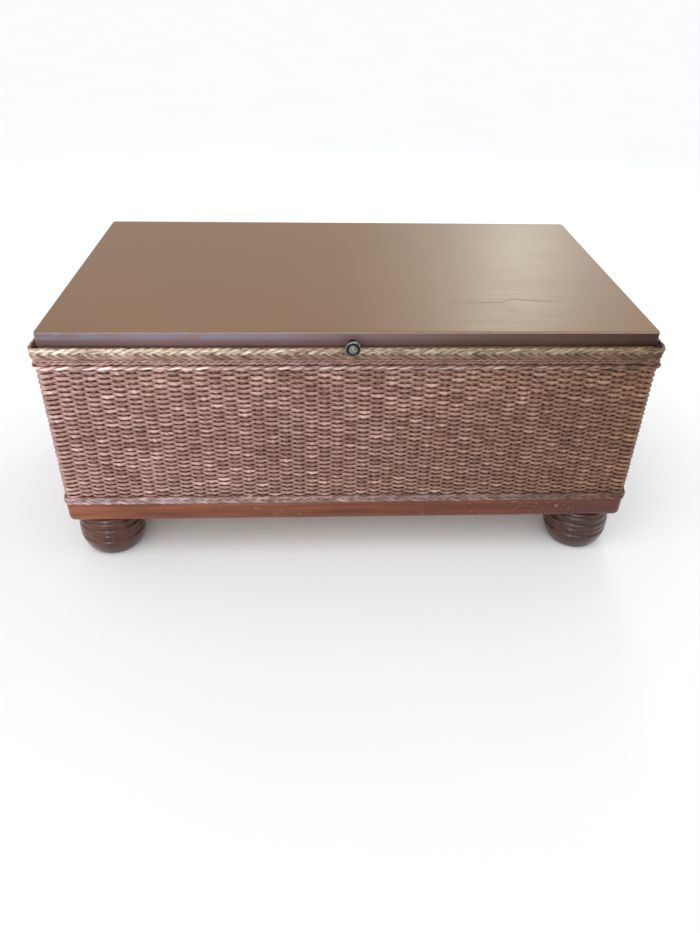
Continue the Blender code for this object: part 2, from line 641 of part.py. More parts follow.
# ------------------------------------------------------------------ lid stays
REACH = SLOT_FAR + 0.0105
LEAN = math.atan2(STUD_Y - PIVOT_Y, PIVOT_Z - STUD_Z)
for side, sx in SIDES:
    plane = sx * STAY_X
    # outline in (across, along) with the pivot at the origin
    outline = arc(0, 0, STAY_W / 2, math.pi, 2 * math.pi, 12)
    outline += arc(0, REACH - STAY_W / 2, STAY_W / 2, 0, math.pi, 12)
    bm = bmesh.new()
    down = Vector((0, math.sin(LEAN), -math.cos(LEAN)))
    across = Vector((0, math.cos(LEAN), math.sin(LEAN)))
    base = Vector((plane - STAY_T / 2, PIVOT_Y, PIVOT_Z))
    face = bm.faces.new([bm.verts.new(base + across * u + down * v)
                         for u, v in outline])
    grown = bmesh.ops.extrude_face_region(bm, geom=[face])
    bmesh.ops.translate(
        bm, vec=(STAY_T, 0, 0),
        verts=[g for g in grown["geom"] if isinstance(g, bmesh.types.BMVert)])
    arm = finish(bm, "stay_arm_" + side, STEEL, (plane, PIVOT_Y, PIVOT_Z))
    slot = bmesh.new()
    outline = arc(0, SLOT_NEAR - 0.0004, SLOT_HALF, math.pi, 2 * math.pi, 10)
    outline += arc(0, SLOT_FAR + 0.0004, SLOT_HALF, 0, math.pi, 10)
    start = base + Vector((-0.002, 0, 0))
    face = slot.faces.new([slot.verts.new(start + across * u + down * v)
                           for u, v in outline])
    grown = bmesh.ops.extrude_face_region(slot, geom=[face])
    bmesh.ops.translate(
        slot, vec=(STAY_T + 0.004, 0, 0),
        verts=[g for g in grown["geom"] if isinstance(g, bmesh.types.BMVert)])
    slot_cutter = finish(slot, "cutter", STEEL, (plane, PIVOT_Y, PIVOT_Z))
    boolean(arm, [slot_cutter,
                  bore((plane - 0.005, PIVOT_Y, PIVOT_Z), (1, 0, 0), 0.0029,
                       0.010, 20)])

    # shouldered pivot screw, from the rail's side through the arm into the
    # batten; distances run towards the middle of the trunk
    outer_face = STAY_X + STAY_T / 2
    inner_face = STAY_X - STAY_T / 2
    pivot = turned(
        "stay_pivot_" + side,
        [(0, 0), (0.0045, 0.0), (0.0060, 0.0010), (0.0060, 0.0020),
         (0.0026, 0.0020), (0.0026, 0.0020 + STAY_T + 2 * GAP),
         (0.0048, 0.0020 + STAY_T + 2 * GAP),
         (0.0048, 0.0020 + GAP + outer_face - BATTEN_OUT - GAP),
         (0.0018, 0.0020 + GAP + outer_face - BATTEN_OUT - GAP),
         (0.0018, 0.0180), (0, 0.0195)],
        (sx * (outer_face + GAP + 0.0020), PIVOT_Y, PIVOT_Z), (-sx, 0, 0),
        STEEL, 16)
    lid_parts.append(pivot)

    # shouldered stud, from the rail through the slot; distances run outwards
    rail_face = FRAME_X - RAIL_T
    stud = turned(
        "stay_stud_" + side,
        [(0, 0), (0.0048, 0), (0.0060, 0.0008), (0.0060, 0.0018),
         (STUD_NECK_R, 0.0018), (STUD_NECK_R, 0.0018 + STAY_T + 2 * GAP),
         (0.0050, 0.0018 + STAY_T + 2 * GAP),
         (0.0050, 0.0018 + GAP + rail_face - inner_face - GAP),
         (0.0018, 0.0018 + GAP + rail_face - inner_face - GAP),
         (0.0018, 0.0180), (0, 0.0195)],
        (sx * (inner_face - GAP - 0.0018), STUD_Y, STUD_Z), (sx, 0, 0),
        STEEL, 16)

    stay_pivot = bpy.data.objects.new("stay_axis_" + side, None)
    stay_pivot.location = (plane, PIVOT_Y, PIVOT_Z)
    bpy.context.scene.collection.objects.link(stay_pivot)
    ride_on(lid_pivot, stay_pivot)
    ride_on(stay_pivot, arm)

ride_on(lid_pivot, *lid_parts)
bpy.context.view_layer.update()
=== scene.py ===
import math

import bmesh
import bpy
import numpy as np
from mathutils import Matrix, Vector


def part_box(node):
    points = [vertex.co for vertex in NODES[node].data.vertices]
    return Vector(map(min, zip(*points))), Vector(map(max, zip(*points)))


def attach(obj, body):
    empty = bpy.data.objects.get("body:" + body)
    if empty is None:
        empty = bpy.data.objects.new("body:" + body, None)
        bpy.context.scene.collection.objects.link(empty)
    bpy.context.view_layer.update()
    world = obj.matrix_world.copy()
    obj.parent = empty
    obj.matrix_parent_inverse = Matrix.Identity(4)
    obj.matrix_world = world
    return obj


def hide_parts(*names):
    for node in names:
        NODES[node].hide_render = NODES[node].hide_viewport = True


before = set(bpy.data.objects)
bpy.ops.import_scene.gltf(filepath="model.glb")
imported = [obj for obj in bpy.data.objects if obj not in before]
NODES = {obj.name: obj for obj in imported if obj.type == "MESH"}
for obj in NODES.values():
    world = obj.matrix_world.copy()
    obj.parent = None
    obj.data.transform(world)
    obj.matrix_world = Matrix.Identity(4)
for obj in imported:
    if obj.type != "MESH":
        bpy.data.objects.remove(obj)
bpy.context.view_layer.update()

# ------------------------------------------------------------ places from CAD
COVER_LO, COVER_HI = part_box("lid_cover")
YC = (COVER_LO.y + COVER_HI.y) / 2            # middle of the trunk, front to back
LID_X = COVER_HI.x
LID_Y = (COVER_HI.y - COVER_LO.y) / 2
LID_TOP = COVER_HI.z
LID_LOW = COVER_LO.z
SKIN_LO, SKIN_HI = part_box("woven_panel_front")
SKIN_X = SKIN_HI.x                            # woven faces
SKIN_Y = YC - SKIN_LO.y
SKIN_LOW, SKIN_TOP = SKIN_LO.z, SKIN_HI.z
SKIN_R = 0.008
TOP_LO, TOP_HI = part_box("top_braid")
BASE_LO, BASE_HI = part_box("base_braid")
CORD_LO, CORD_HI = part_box("upper_cord")
KNOB_LO, KNOB_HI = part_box("knob")
LINING_LO, LINING_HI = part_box("lid_lining")
FRONT = YC - SKIN_Y


# ------------------------------------------------------------------ materials
class Graph:
    """A material and short names for the nodes in it."""

    def __init__(self, name):
        self.mat = bpy.data.materials.new(name)
        self.mat.use_nodes = True
        self.tree = self.mat.node_tree
        self.shader = self.tree.nodes["Principled BSDF"]

    def node(self, kind, **props):
        made = self.tree.nodes.new(kind)
        for key, value in props.items():
            setattr(made, key, value)
        return made

    def put(self, socket, value):
        if isinstance(value, bpy.types.NodeSocket):
            self.tree.links.new(value, socket)
        elif value is not None:
            socket.default_value = value

    def place(self):
        return self.node("ShaderNodeTexCoord").outputs["Object"]

    def uv(self, name):
        return self.node("ShaderNodeUVMap", uv_map=name).outputs["UV"]

    def split(self, vector):
        made = self.node("ShaderNodeSeparateXYZ")
        self.put(made.inputs[0], vector)
        return made.outputs[0], made.outputs[1], made.outputs[2]

    def join(self, x=0.0, y=0.0, z=0.0):
        made = self.node("ShaderNodeCombineXYZ")
        for i, value in enumerate((x, y, z)):
            self.put(made.inputs[i], value)
        return made.outputs[0]

    def scaled(self, vector, scale, shift=(0, 0, 0), turn=(0, 0, 0)):
        made = self.node("ShaderNodeMapping")
        self.put(made.inputs["Vector"], vector)
        made.inputs["Scale"].default_value = scale
        made.inputs["Location"].default_value = shift
        made.inputs["Rotation"].default_value = turn
        return made.outputs[0]

    def noise(self, vector, scale=1.0, detail=3.0, rough=0.5, bend=0.0):
        made = self.node("ShaderNodeTexNoise")
        self.put(made.inputs["Vector"], vector)
        made.inputs["Scale"].default_value = scale
        made.inputs["Detail"].default_value = detail
        made.inputs["Roughness"].default_value = rough
        made.inputs["Distortion"].default_value = bend
        return made.outputs["Fac"]

    def cells(self, vector, scale=1.0, feature="F1", out="Distance", spread=1.0):
        made = self.node("ShaderNodeTexVoronoi", feature=feature)
        self.put(made.inputs["Vector"], vector)
        made.inputs["Scale"].default_value = scale
        made.inputs["Randomness"].default_value = spread
        return made.outputs[out]

    def math(self, op, a, b=None, c=None, clamp=False):
        made = self.node("ShaderNodeMath", operation=op, use_clamp=clamp)
        for i, value in enumerate((a, b, c)):
            self.put(made.inputs[i], value)
        return made.outputs[0]

    def remap(self, value, a, b, lo=0.0, hi=1.0, smooth=False):
        made = self.node("ShaderNodeMapRange", clamp=True)
        if smooth:
            made.interpolation_type = "SMOOTHSTEP"
        self.put(made.inputs[0], value)
        for i, number in enumerate((a, b, lo, hi)):
            made.inputs[i + 1].default_value = number
        return made.outputs[0]

    def ramp(self, fac, *stops):
        made = self.node("ShaderNodeValToRGB")
        self.put(made.inputs[0], fac)
        bar = made.color_ramp
        while len(bar.elements) < len(stops):
            bar.elements.new(1.0)
        for element, (where, colour) in zip(bar.elements, stops):
            element.position = where
            element.color = (*colour, 1.0)
        return made.outputs[0]

    def mix(self, fac, a, b, how="MIX"):
        made = self.node("ShaderNodeMix", data_type="RGBA", blend_type=how)
        made.clamp_factor = True
        self.put(made.inputs[0], fac)
        for i, value in ((6, a), (7, b)):
            if isinstance(value, tuple):
                value = (*value, 1.0)
            self.put(made.inputs[i], value)
        return made.outputs[2]

    def bump(self, height, depth, strength=1.0, under=None):
        made = self.node("ShaderNodeBump")
        made.inputs["Strength"].default_value = strength
        made.inputs["Distance"].default_value = depth
        self.put(made.inputs["Height"], height)
        if under is not None:
            self.put(made.inputs["Normal"], under)
        return made.outputs[0]

    def done(self, colour=None, rough=None, normal=None, **fixed):
        self.put(self.shader.inputs["Base Color"], colour)
        self.put(self.shader.inputs["Roughness"], rough)
        if normal is not None:
            self.put(self.shader.inputs["Normal"], normal)
        for key, value in fixed.items():
            self.shader.inputs[key.replace("_", " ")].default_value = value
        return self.mat


def rgb(r, g, b):
    """A colour given as the 0-255 values a screen shows, as linear numbers."""
    out = []
    for v in (r, g, b):
        v /= 255.0
        out.append(v / 12.92 if v <= 0.04045 else ((v + 0.055) / 1.055) ** 2.4)
    return tuple(out)


def painted_side_light(g, colour, left, right):
    """Painted light and shade: the colour is multiplied by a tint that runs from one end of the trunk
    to the other, paler at the lit left end and darker at the right.
    """
    x, _, _ = g.split(g.place())
    tint = g.ramp(g.remap(x, -0.53, 0.53), (0.0, left), (0.5, tuple(
        (a + b) / 2 for a, b in zip(left, right))), (1.0, right))
    return g.mix(1.0, colour, tint, "MULTIPLY")


def seagrass(name, dark, mid, pale, lay=0.022, pale_share=0.62, bulges=True,
             left=(1.0, 1.0, 1.0), right=(0.86, 0.86, 0.74), depth=0.0007,
             gloss=0.6, painted_shade=None, lower=None, glint=None, pale_top=None):
    """Twisted grass: fibres wind round the cord, with paler and darker blades."""
    g = Graph(name)
    u, v, _ = g.split(g.uv("fibre"))
    wind = g.math("ADD", v, g.math("MULTIPLY", u, 1.0 / lay))
    fine = g.noise(g.join(g.math("MULTIPLY", wind, 26.0),
                          g.math("MULTIPLY", u, 42.0), 0.0), 1.0, 4.0, 0.6)
    blades = g.noise(g.join(g.math("MULTIPLY", wind, 6.5),
                            g.math("MULTIPLY", u, 30.0), 3.7), 1.0, 2.0, 0.5)
    patch = g.noise(g.join(g.math("MULTIPLY", u, 24.0),
                           g.math("MULTIPLY", v, 0.9), 1.3), 1.0, 2.0, 0.5)
    tone = g.math("ADD", g.math("MULTIPLY", fine, 0.30),
                  g.math("ADD", g.math("MULTIPLY", blades, 0.42),
                         g.math("MULTIPLY", patch, 0.28)))
    colour = g.ramp(tone, (0.36, dark), (0.48, mid), (pale_share, pale),
                    (0.74, tuple(min(1.0, c * 1.35) for c in pale)))
    if bulges:
        front, chance, _ = g.split(g.uv("bulge"))
        # painted shade: where the strand lies back, behind a stake or between its neighbours, the
        # colour is darkened to stand for the shade in that recess
        painted_shade = g.ramp(front, *(painted_shade or ((0.0, (0.72, 0.52, 0.44)), (0.20, (0.70, 0.53, 0.46)),
                                          (0.42, (0.90, 0.85, 0.83)), (0.62, (1.0, 1.0, 1.0)))))
        colour = g.mix(1.0, colour, painted_shade, "MULTIPLY")
        lift = g.ramp(chance, (0.0, (0.74, 0.70, 0.68)), (0.25, (0.94, 0.93, 0.92)),
                      (0.72, (1.03, 1.02, 1.02)), (0.90, (1.16, 1.17, 1.18)),
                      (1.0, (1.42, 1.46, 1.48)))
        colour = g.mix(1.0, colour, lift, "MULTIPLY")
        if glint:
            # painted highlight: here and there a pale glint is painted on the top of a bulge
            spot = g.math("MULTIPLY", g.remap(front, 0.93, 1.0, 0.0, 1.0, True),
                          g.remap(chance, 0.80, 0.98, 0.0, 1.0, True))
            spot = g.math("MULTIPLY", spot, g.remap(fine, 0.42, 0.58, 0.25, 1.0))
            colour = g.mix(g.math("MULTIPLY", spot, 0.85), colour, glint)
    if pale_top:
        # painted highlight: the upper rows are painted lighter, standing for the glints that catch the
        # light there
        _, _, z = g.split(g.place())
        colour = g.mix(g.remap(z, pale_top[0], pale_top[1]), colour,
                       g.mix(1.0, colour, pale_top[2], "MULTIPLY"))
    if lower:
        # painted shade: the lower half of the plait, which faces down, is painted duller than its upper
        # half
        z_low, z_high, tint = lower
        _, _, z = g.split(g.place())
        colour = g.mix(g.remap(z, z_low, z_high, 1.0, 0.0, True), colour,
                       g.mix(1.0, colour, tint, "MULTIPLY"))
    # painted light and shade: paler at the left end of the trunk, darker at the right
    colour = painted_side_light(g, colour, left, right)
    ridges = g.math("SINE", g.math("MULTIPLY", wind, 2 * math.pi * 7.0))
    height = g.math("ADD", g.math("MULTIPLY", ridges, 0.12),
                    g.math("ADD", g.math("MULTIPLY", fine, 0.9),
                           g.math("MULTIPLY", blades, 0.9)))
    rough = g.remap(fine, 0.25, 0.8, gloss + 0.16, gloss - 0.12)
    return g.done(colour, rough, g.bump(height, depth), Specular_IOR_Level=0.42,
                  Sheen_Weight=0.10, Sheen_Roughness=0.45)


def stained_wood(name, along, tone=1.0, left=(0.98, 0.88, 0.74), right=(0.40, 0.25, 0.21),
                 specks=True, pore=0.72, gloss=(0.34, 0.22, 0.16)):
    """Red-brown stain under gloss lacquer, grain running along one axis."""
    g = Graph(name)
    where = g.place()
    stretch = [150.0, 150.0, 150.0]
    stretch["xyz".index(along)] = 5.0
    grain = g.noise(g.scaled(where, stretch), 1.0, 5.0, 0.62, 0.25)
    wide = [34.0, 34.0, 34.0]
    wide["xyz".index(along)] = 2.2
    figure = g.noise(g.scaled(where, wide, (3.1, 0.7, 1.9)), 1.0, 3.0, 0.5, 0.8)
    cloud = g.noise(g.scaled(where, (7.0, 7.0, 7.0), (0.4, 2.0, 5.0)), 1.0, 2.0, 0.5)
    pores = g.cells(g.scaled(where, [c * 2.6 for c in stretch]), 1.0)
    mixd = g.math("ADD", g.math("MULTIPLY", grain, 0.42),
                  g.math("ADD", g.math("MULTIPLY", figure, 0.34),
                         g.math("MULTIPLY", cloud, 0.24)))
    k = tone
    colour = g.ramp(mixd, (0.32, (0.060 * k, 0.015 * k, 0.007 * k)),
                    (0.45, (0.150 * k, 0.043 * k, 0.018 * k)),
                    (0.55, (0.235 * k, 0.075 * k, 0.030 * k)),
                    (0.70, (0.340 * k, 0.125 * k, 0.050 * k)))
    dark_pores = g.remap(pores, 0.05, 0.20, pore, 1.0)
    colour = g.mix(1.0, colour, g.join(dark_pores, dark_pores, dark_pores), "MULTIPLY")
    # painted light and shade: paler at the left end of the trunk, darker at the right
    colour = painted_side_light(g, colour, left, right)
    if specks:
        specks = g.math("GREATER_THAN", g.noise(
            g.scaled(where, (120.0, 120.0, 420.0), (9.0, 1.0, 4.0)), 1.0, 1.0, 0.4), 0.735)
        zone = g.remap(g.noise(g.scaled(where, (6.0, 6.0, 6.0), (5.0, 5.0, 5.0)), 1.0,
                               1.0, 0.5), 0.50, 0.60)
        colour = g.mix(g.math("MULTIPLY", specks, zone), colour, (0.36, 0.22, 0.14))
    scuff = g.noise(g.scaled(where, (40.0, 40.0, 40.0)), 1.0, 4.0, 0.6)
    rough = g.remap(scuff, 0.3, 0.75, 0.22, 0.40)
    height = g.math("ADD", g.math("MULTIPLY", grain, 0.6),
                    g.math("MULTIPLY", cloud, 0.8))
    return g.done(colour, rough, g.bump(height, 0.0005, 0.4),
                  Specular_IOR_Level=gloss[0], Coat_Weight=gloss[1], Coat_Roughness=gloss[2])


def raw_wood(name, along, light, dark, knots=True):
    """Unfinished softwood with growth rings and a few knots."""
    g = Graph(name)
    where = g.place()
    axis = "xyz".index(along)
    warp = [9.0, 9.0, 9.0]
    warp[axis] = 1.1
    sway = g.noise(g.scaled(where, warp), 1.0, 2.0, 0.5)
    fine = [420.0, 420.0, 420.0]
    fine[axis] = 9.0
    fibre = g.noise(g.scaled(where, fine), 1.0, 3.0, 0.6)
    x, y, z = g.split(where)
    across = [a for i, a in enumerate((x, y, z)) if i != axis]
    ring = g.math("ADD", g.math("MULTIPLY", across[0], 620.0),
                  g.math("ADD", g.math("MULTIPLY", across[1], 240.0),
                         g.math("MULTIPLY", sway, 21.0)))
    rings = g.remap(g.math("SINE", ring), -0.6, 1.0)
    tone = g.math("ADD", g.math("MULTIPLY", rings, 0.55), g.math("MULTIPLY", fibre, 0.45))
    mid = tuple((a + b) / 2 for a, b in zip(light, dark))
    colour = g.ramp(tone, (0.10, light), (0.45, mid), (0.85, dark))
    if knots:
        spots = [5.5, 5.5, 5.5]
        spots[axis] = 3.2
        knot = g.remap(g.cells(g.scaled(where, spots, (1.7, 2.3, 0.9)), 1.0), 0.02, 0.075,
                       1.0, 0.0, True)
        colour = g.mix(knot, colour, tuple(c * 0.35 for c in dark))
    height = g.math("ADD", g.math("MULTIPLY", fibre, 0.8), g.math("MULTIPLY", rings, 0.3))
    rough = g.remap(fibre, 0.3, 0.7, 0.58, 0.76)
    return g.done(colour, rough, g.bump(height, 0.0004, 0.6), Specular_IOR_Level=0.3)


def metal(name, base, dark, rough_a, rough_b, scale=(60, 60, 60), tarnish=0.5):
    """Plated metal: brushed lines, tarnish in patches and small scratches."""
    g = Graph(name)
    where = g.place()
    lines = g.noise(g.scaled(where, scale), 8.0, 3.0, 0.6)
    patches = g.noise(g.scaled(where, (90, 90, 90), (2, 5, 1)), 1.0, 4.0, 0.6)
    scratch = g.cells(g.scaled(where, (900, 160, 420), (0, 0, 0), (0.4, 0.2, 0.9)), 1.0)
    worn = g.remap(patches, tarnish - 0.06, tarnish + 0.14)
    colour = g.mix(worn, base, dark)
    colour = g.mix(g.remap(lines, 0.3, 0.7, 0.0, 0.35), colour,
                   tuple(min(1.0, c * 1.25) for c in base))
    rough = g.math("ADD", g.remap(patches, 0.3, 0.7, rough_a, rough_b),
                   g.remap(lines, 0.3, 0.7, -0.05, 0.05))
    height = g.math("ADD", g.math("MULTIPLY", lines, 0.4),
                    g.remap(scratch, 0.0, 0.15, -0.5, 0.0))
    return g.done(colour, rough, g.bump(height, 0.00012, 0.5), Metallic=1.0)


def leatherette():
    """Brown satin leatherette: pebbled grain, faint streaks, a scuffed front edge and a painted
    highlight along the arris.
    """
    g = Graph("leatherette")
    where = g.place()
    x, y, z = g.split(where)
    pebble = g.cells(where, 620.0, "SMOOTH_F1")
    pores = g.noise(where, 950.0, 3.0, 0.6)
    cloud = g.noise(g.scaled(where, (4.0, 6.0, 5.0)), 1.0, 2.0, 0.4)
    streak = g.noise(g.scaled(where, (5.0, 85.0, 30.0), (1.0, 3.0, 2.0)), 1.0, 3.0, 0.6)
    tone = g.math("ADD", g.math("MULTIPLY", cloud, 0.45),
                  g.math("ADD", g.math("MULTIPLY", streak, 0.25),
                         g.math("MULTIPLY", pores, 0.30)))
    top = g.ramp(tone, (0.30, (0.204, 0.112, 0.056)), (0.50, (0.221, 0.123, 0.063)),
                 (0.70, (0.238, 0.135, 0.071)))
    # painted shade: the upright edges, which get less light than the top, are painted darker, from
    # mauve-brown at the left to near black at the right
    edge = g.ramp(g.remap(x, -0.53, 0.53), (0.0, (0.150, 0.088, 0.086)),
                  (0.40, (0.165, 0.094, 0.090)), (0.70, (0.092, 0.048, 0.038)),
                  (1.0, (0.036, 0.015, 0.008)))
    edge = g.mix(1.0, edge, g.ramp(tone, (0.3, (0.75, 0.72, 0.70)),
                                   (0.7, (1.25, 1.22, 1.2))), "MULTIPLY")
    side = g.remap(z, LID_TOP - 0.0042, LID_TOP - 0.0022, 1.0, 0.0, True)
    colour = g.mix(side, top, edge)
    # bluish worn strip along the upper part of the front edge
    band = g.math("MULTIPLY", g.remap(z, LID_TOP - 0.0165, LID_TOP - 0.0105, 0.0, 1.0, True),
                  g.remap(z, LID_TOP - 0.0010, LID_TOP - 0.0030, 0.0, 1.0, True))
    front = g.remap(y, YC - LID_Y + 0.006, YC - LID_Y + 0.002, 0.0, 1.0)
    span = g.math("MULTIPLY", g.remap(x, -0.530, -0.515, 0.0, 1.0),
                  g.remap(x, -0.02, -0.22, 0.0, 1.0))
    blot = g.remap(g.noise(g.scaled(where, (26.0, 1.0, 95.0), (0.3, 0.0, 0.0)), 1.0, 3.0,
                           0.55), 0.40, 0.56)
    worn = g.math("MULTIPLY", g.math("MULTIPLY", band, front),
                  g.math("MULTIPLY", span, blot))
    colour = g.mix(g.math("MULTIPLY", worn, 0.80), colour, (0.152, 0.144, 0.198))
    # all along, the upper part of the front edge is rubbed a little paler
    colour = g.mix(g.math("MULTIPLY", g.math("MULTIPLY", band, front),
                          g.remap(x, -0.1, 0.35, 0.24, 0.0)), colour, (0.30, 0.23, 0.25))
    # painted highlight: a paler line is painted on the arris, broken along its length
    arris_highlight = g.math("MULTIPLY", g.remap(z, LID_TOP - 0.0038, LID_TOP - 0.0018, 0.0, 1.0, True),
                 g.remap(z, LID_TOP - 0.0011, LID_TOP - 0.0016, 0.0, 1.0, True))
    arris_highlight = g.math("MULTIPLY", arris_highlight, g.remap(g.noise(g.scaled(where, (45.0, 45.0, 10.0)), 1.0,
                                                  4.0, 0.6), 0.36, 0.60, 0.35, 1.0))
    colour = g.mix(g.math("MULTIPLY", arris_highlight, 0.65), colour, (0.30, 0.24, 0.23))
    height = g.math("ADD", g.math("MULTIPLY", pebble, 0.55),
                    g.math("ADD", g.math("MULTIPLY", pores, 0.25),
                           g.math("MULTIPLY", streak, 0.22)))
    rough = g.math("ADD", g.remap(cloud, 0.3, 0.7, 0.40, 0.42),
                   g.math("ADD", g.remap(streak, 0.3, 0.7, -0.02, 0.02),
                          g.math("MULTIPLY", worn, 0.10)))
    return g.done(colour, rough, g.bump(height, 0.00030, 0.40),
                  Specular_IOR_Level=0.25)


def dust_cloth():
    """Black spun-bonded cloth: a random felt of fine threads, dusty in places."""
    g = Graph("lining_cloth")
    where = g.place()
    threads = g.cells(g.scaled(where, (900.0, 620.0, 900.0), (0, 0, 0), (0, 0, 0.7)), 1.0)
    felt = g.noise(where, 1400.0, 4.0, 0.7)
    dimple = g.cells(g.scaled(where, (480.0, 480.0, 10.0)), 1.0, spread=0.15)
    dust = g.noise(g.scaled(where, (9.0, 6.0, 9.0)), 1.0, 5.0, 0.65)
    colour = g.ramp(g.math("ADD", g.math("MULTIPLY", felt, 0.6),
                           g.math("MULTIPLY", threads, 0.5)),
                    (0.25, (0.008, 0.008, 0.009)), (0.75, (0.034, 0.032, 0.031)))
    colour = g.mix(g.remap(dust, 0.55, 0.80, 0.0, 0.30), colour, (0.16, 0.14, 0.12))
    height = g.math("ADD", g.math("MULTIPLY", dimple, 1.0), g.math("MULTIPLY", felt, 0.5))
    return g.done(colour, g.remap(felt, 0.3, 0.7, 0.84, 0.96),
                  g.bump(height, 0.0003, 0.7), Specular_IOR_Level=0.2,
                  Sheen_Weight=0.15)


def knob_metal():
    """Dark antique plating: bright on the rim and dome, black in the groove."""
    g = Graph("aged_pewter")
    where = g.place()
    x, y, z = g.split(where)
    dz = g.math("SUBTRACT", z, (KNOB_LO.z + KNOB_HI.z) / 2)
    radius = g.math("SQRT", g.math("ADD", g.math("MULTIPLY", x, x),
                                   g.math("MULTIPLY", dz, dz)))
    grime = g.noise(g.scaled(where, (260, 260, 260)), 1.0, 4.0, 0.6)
    zone = g.ramp(g.remap(radius, 0.0, 0.0140),
                  (0.0, (0.34, 0.35, 0.30)), (0.34, (0.22, 0.225, 0.19)),
                  (0.58, (0.13, 0.125, 0.105)), (0.67, (0.014, 0.016, 0.020)),
                  (0.77, (0.014, 0.016, 0.020)), (0.84, (0.22, 0.235, 0.25)),
                  (0.95, (0.36, 0.39, 0.43)))
    colour = g.mix(g.remap(grime, 0.42, 0.68, 0.0, 0.75), zone, (0.045, 0.036, 0.028))
    # painted shade: the neck behind the head is painted near black, standing for the shade around it
    colour = g.mix(g.remap(y, KNOB_LO.y + 0.0086, KNOB_LO.y + 0.0120, 0.0, 1.0, True),
                   colour, (0.030, 0.022, 0.018))
    rough = g.remap(grime, 0.3, 0.7, 0.24, 0.52)
    return g.done(colour, rough, g.bump(grime, 0.00018, 0.6), Metallic=1.0)


TOP_MID = (TOP_LO.z + TOP_HI.z) / 2 + 0.0018
# painted shade for plaits and cords: darker where a strand lies deep between the others
STRAND_PAINTED_SHADE = ((0.0, (0.42, 0.34, 0.29)), (0.30, (0.58, 0.49, 0.43)),
                (0.58, (0.92, 0.90, 0.88)), (0.85, (1.06, 1.06, 1.06)))
WEFT = seagrass("seagrass_weft", rgb(104, 68, 54), rgb(160, 123, 107), rgb(196, 164, 149),
                left=(1.10, 1.10, 1.20), right=(0.50, 0.42, 0.29), pale_share=0.60,
                glint=(0.66, 0.54, 0.47), pale_top=(0.30, 0.42, (1.14, 1.16, 1.20)))
STAKE = seagrass("seagrass_stake", rgb(84, 46, 34), rgb(122, 76, 60), rgb(150, 106, 84),
                 lay=0.4, bulges=False)
PLAIT = seagrass("straw_plait", rgb(104, 70, 50), rgb(194, 168, 138), rgb(246, 232, 202),
                 lay=0.085, pale_share=0.57, left=(0.98, 0.98, 1.07),
                 right=(0.30, 0.24, 0.15), depth=0.0010, gloss=0.5, painted_shade=STRAND_PAINTED_SHADE,
                 lower=(TOP_MID - 0.0030, TOP_MID + 0.0012, (0.53, 0.41, 0.41)))
CORD_DARK = seagrass("seagrass_cord_dark", rgb(106, 72, 60), rgb(160, 126, 112), rgb(196, 166, 152),
                     lay=0.030, left=(1.16, 1.12, 1.22), right=(0.46, 0.36, 0.26),
                     painted_shade=STRAND_PAINTED_SHADE)
CORD_PALE = seagrass("straw_cord", rgb(120, 86, 74), rgb(186, 156, 142), rgb(236, 222, 208),
                     lay=0.070, pale_share=0.58, left=(1.28, 1.20, 1.30),
                       right=(0.20, 0.13, 0.08), depth=0.0009, gloss=0.5,
                     painted_shade=((0.0, (0.34, 0.25, 0.22)), (0.34, (0.52, 0.42, 0.38)),
                            (0.62, (0.90, 0.87, 0.85)), (0.85, (1.10, 1.10, 1.10))))
# painted shade: this cord under the lid's edge is coloured near black, standing for the shadow in the
# gap under the lid
RIM_DARK = seagrass("seagrass_rim_painted_shade", rgb(30, 18, 12), rgb(48, 30, 22), rgb(70, 46, 34),
                    lay=0.030, painted_shade=STRAND_PAINTED_SHADE)
BASE_MAT = seagrass("straw_base", rgb(98, 66, 57), rgb(158, 127, 117), rgb(212, 190, 180),
                    lay=0.060, pale_share=0.60, left=(0.94, 0.92, 1.02),
                    right=(0.27, 0.18, 0.11), depth=0.0009, gloss=0.5, painted_shade=STRAND_PAINTED_SHADE)
LEATHER = leatherette()
LINING = dust_cloth()
STAINED = {a: stained_wood("stained_wood_" + a, a) for a in "xy"}
# painted light and shade: the feet are tinted bluish at the left end, standing for the bluish highlight
# there, and darker grey at the right end
STAINED_FOOT = stained_wood("stained_wood_turned", "z", 0.40, (0.93, 0.82, 1.00),
                            (0.52, 0.52, 0.52), specks=False, pore=0.94, gloss=(0.30, 0.40, 0.12))
PINE = {a: raw_wood("frame_wood_" + a, a, (0.62, 0.45, 0.26), (0.42, 0.24, 0.10))
        for a in "xyz"}
PLY = raw_wood("plywood", "x", (0.56, 0.41, 0.25), (0.40, 0.25, 0.13))
PEWTER = knob_metal()
ZINC = metal("zinc_steel", (0.56, 0.57, 0.56), (0.34, 0.34, 0.33), 0.26, 0.44, (40, 300, 300))
BRASS = metal("brassed_steel", (0.62, 0.46, 0.20), (0.30, 0.20, 0.09), 0.24, 0.42,
              (300, 300, 60))
STAPLE = metal("staple_wire", (0.50, 0.50, 0.50), (0.22, 0.17, 0.13), 0.30, 0.55)


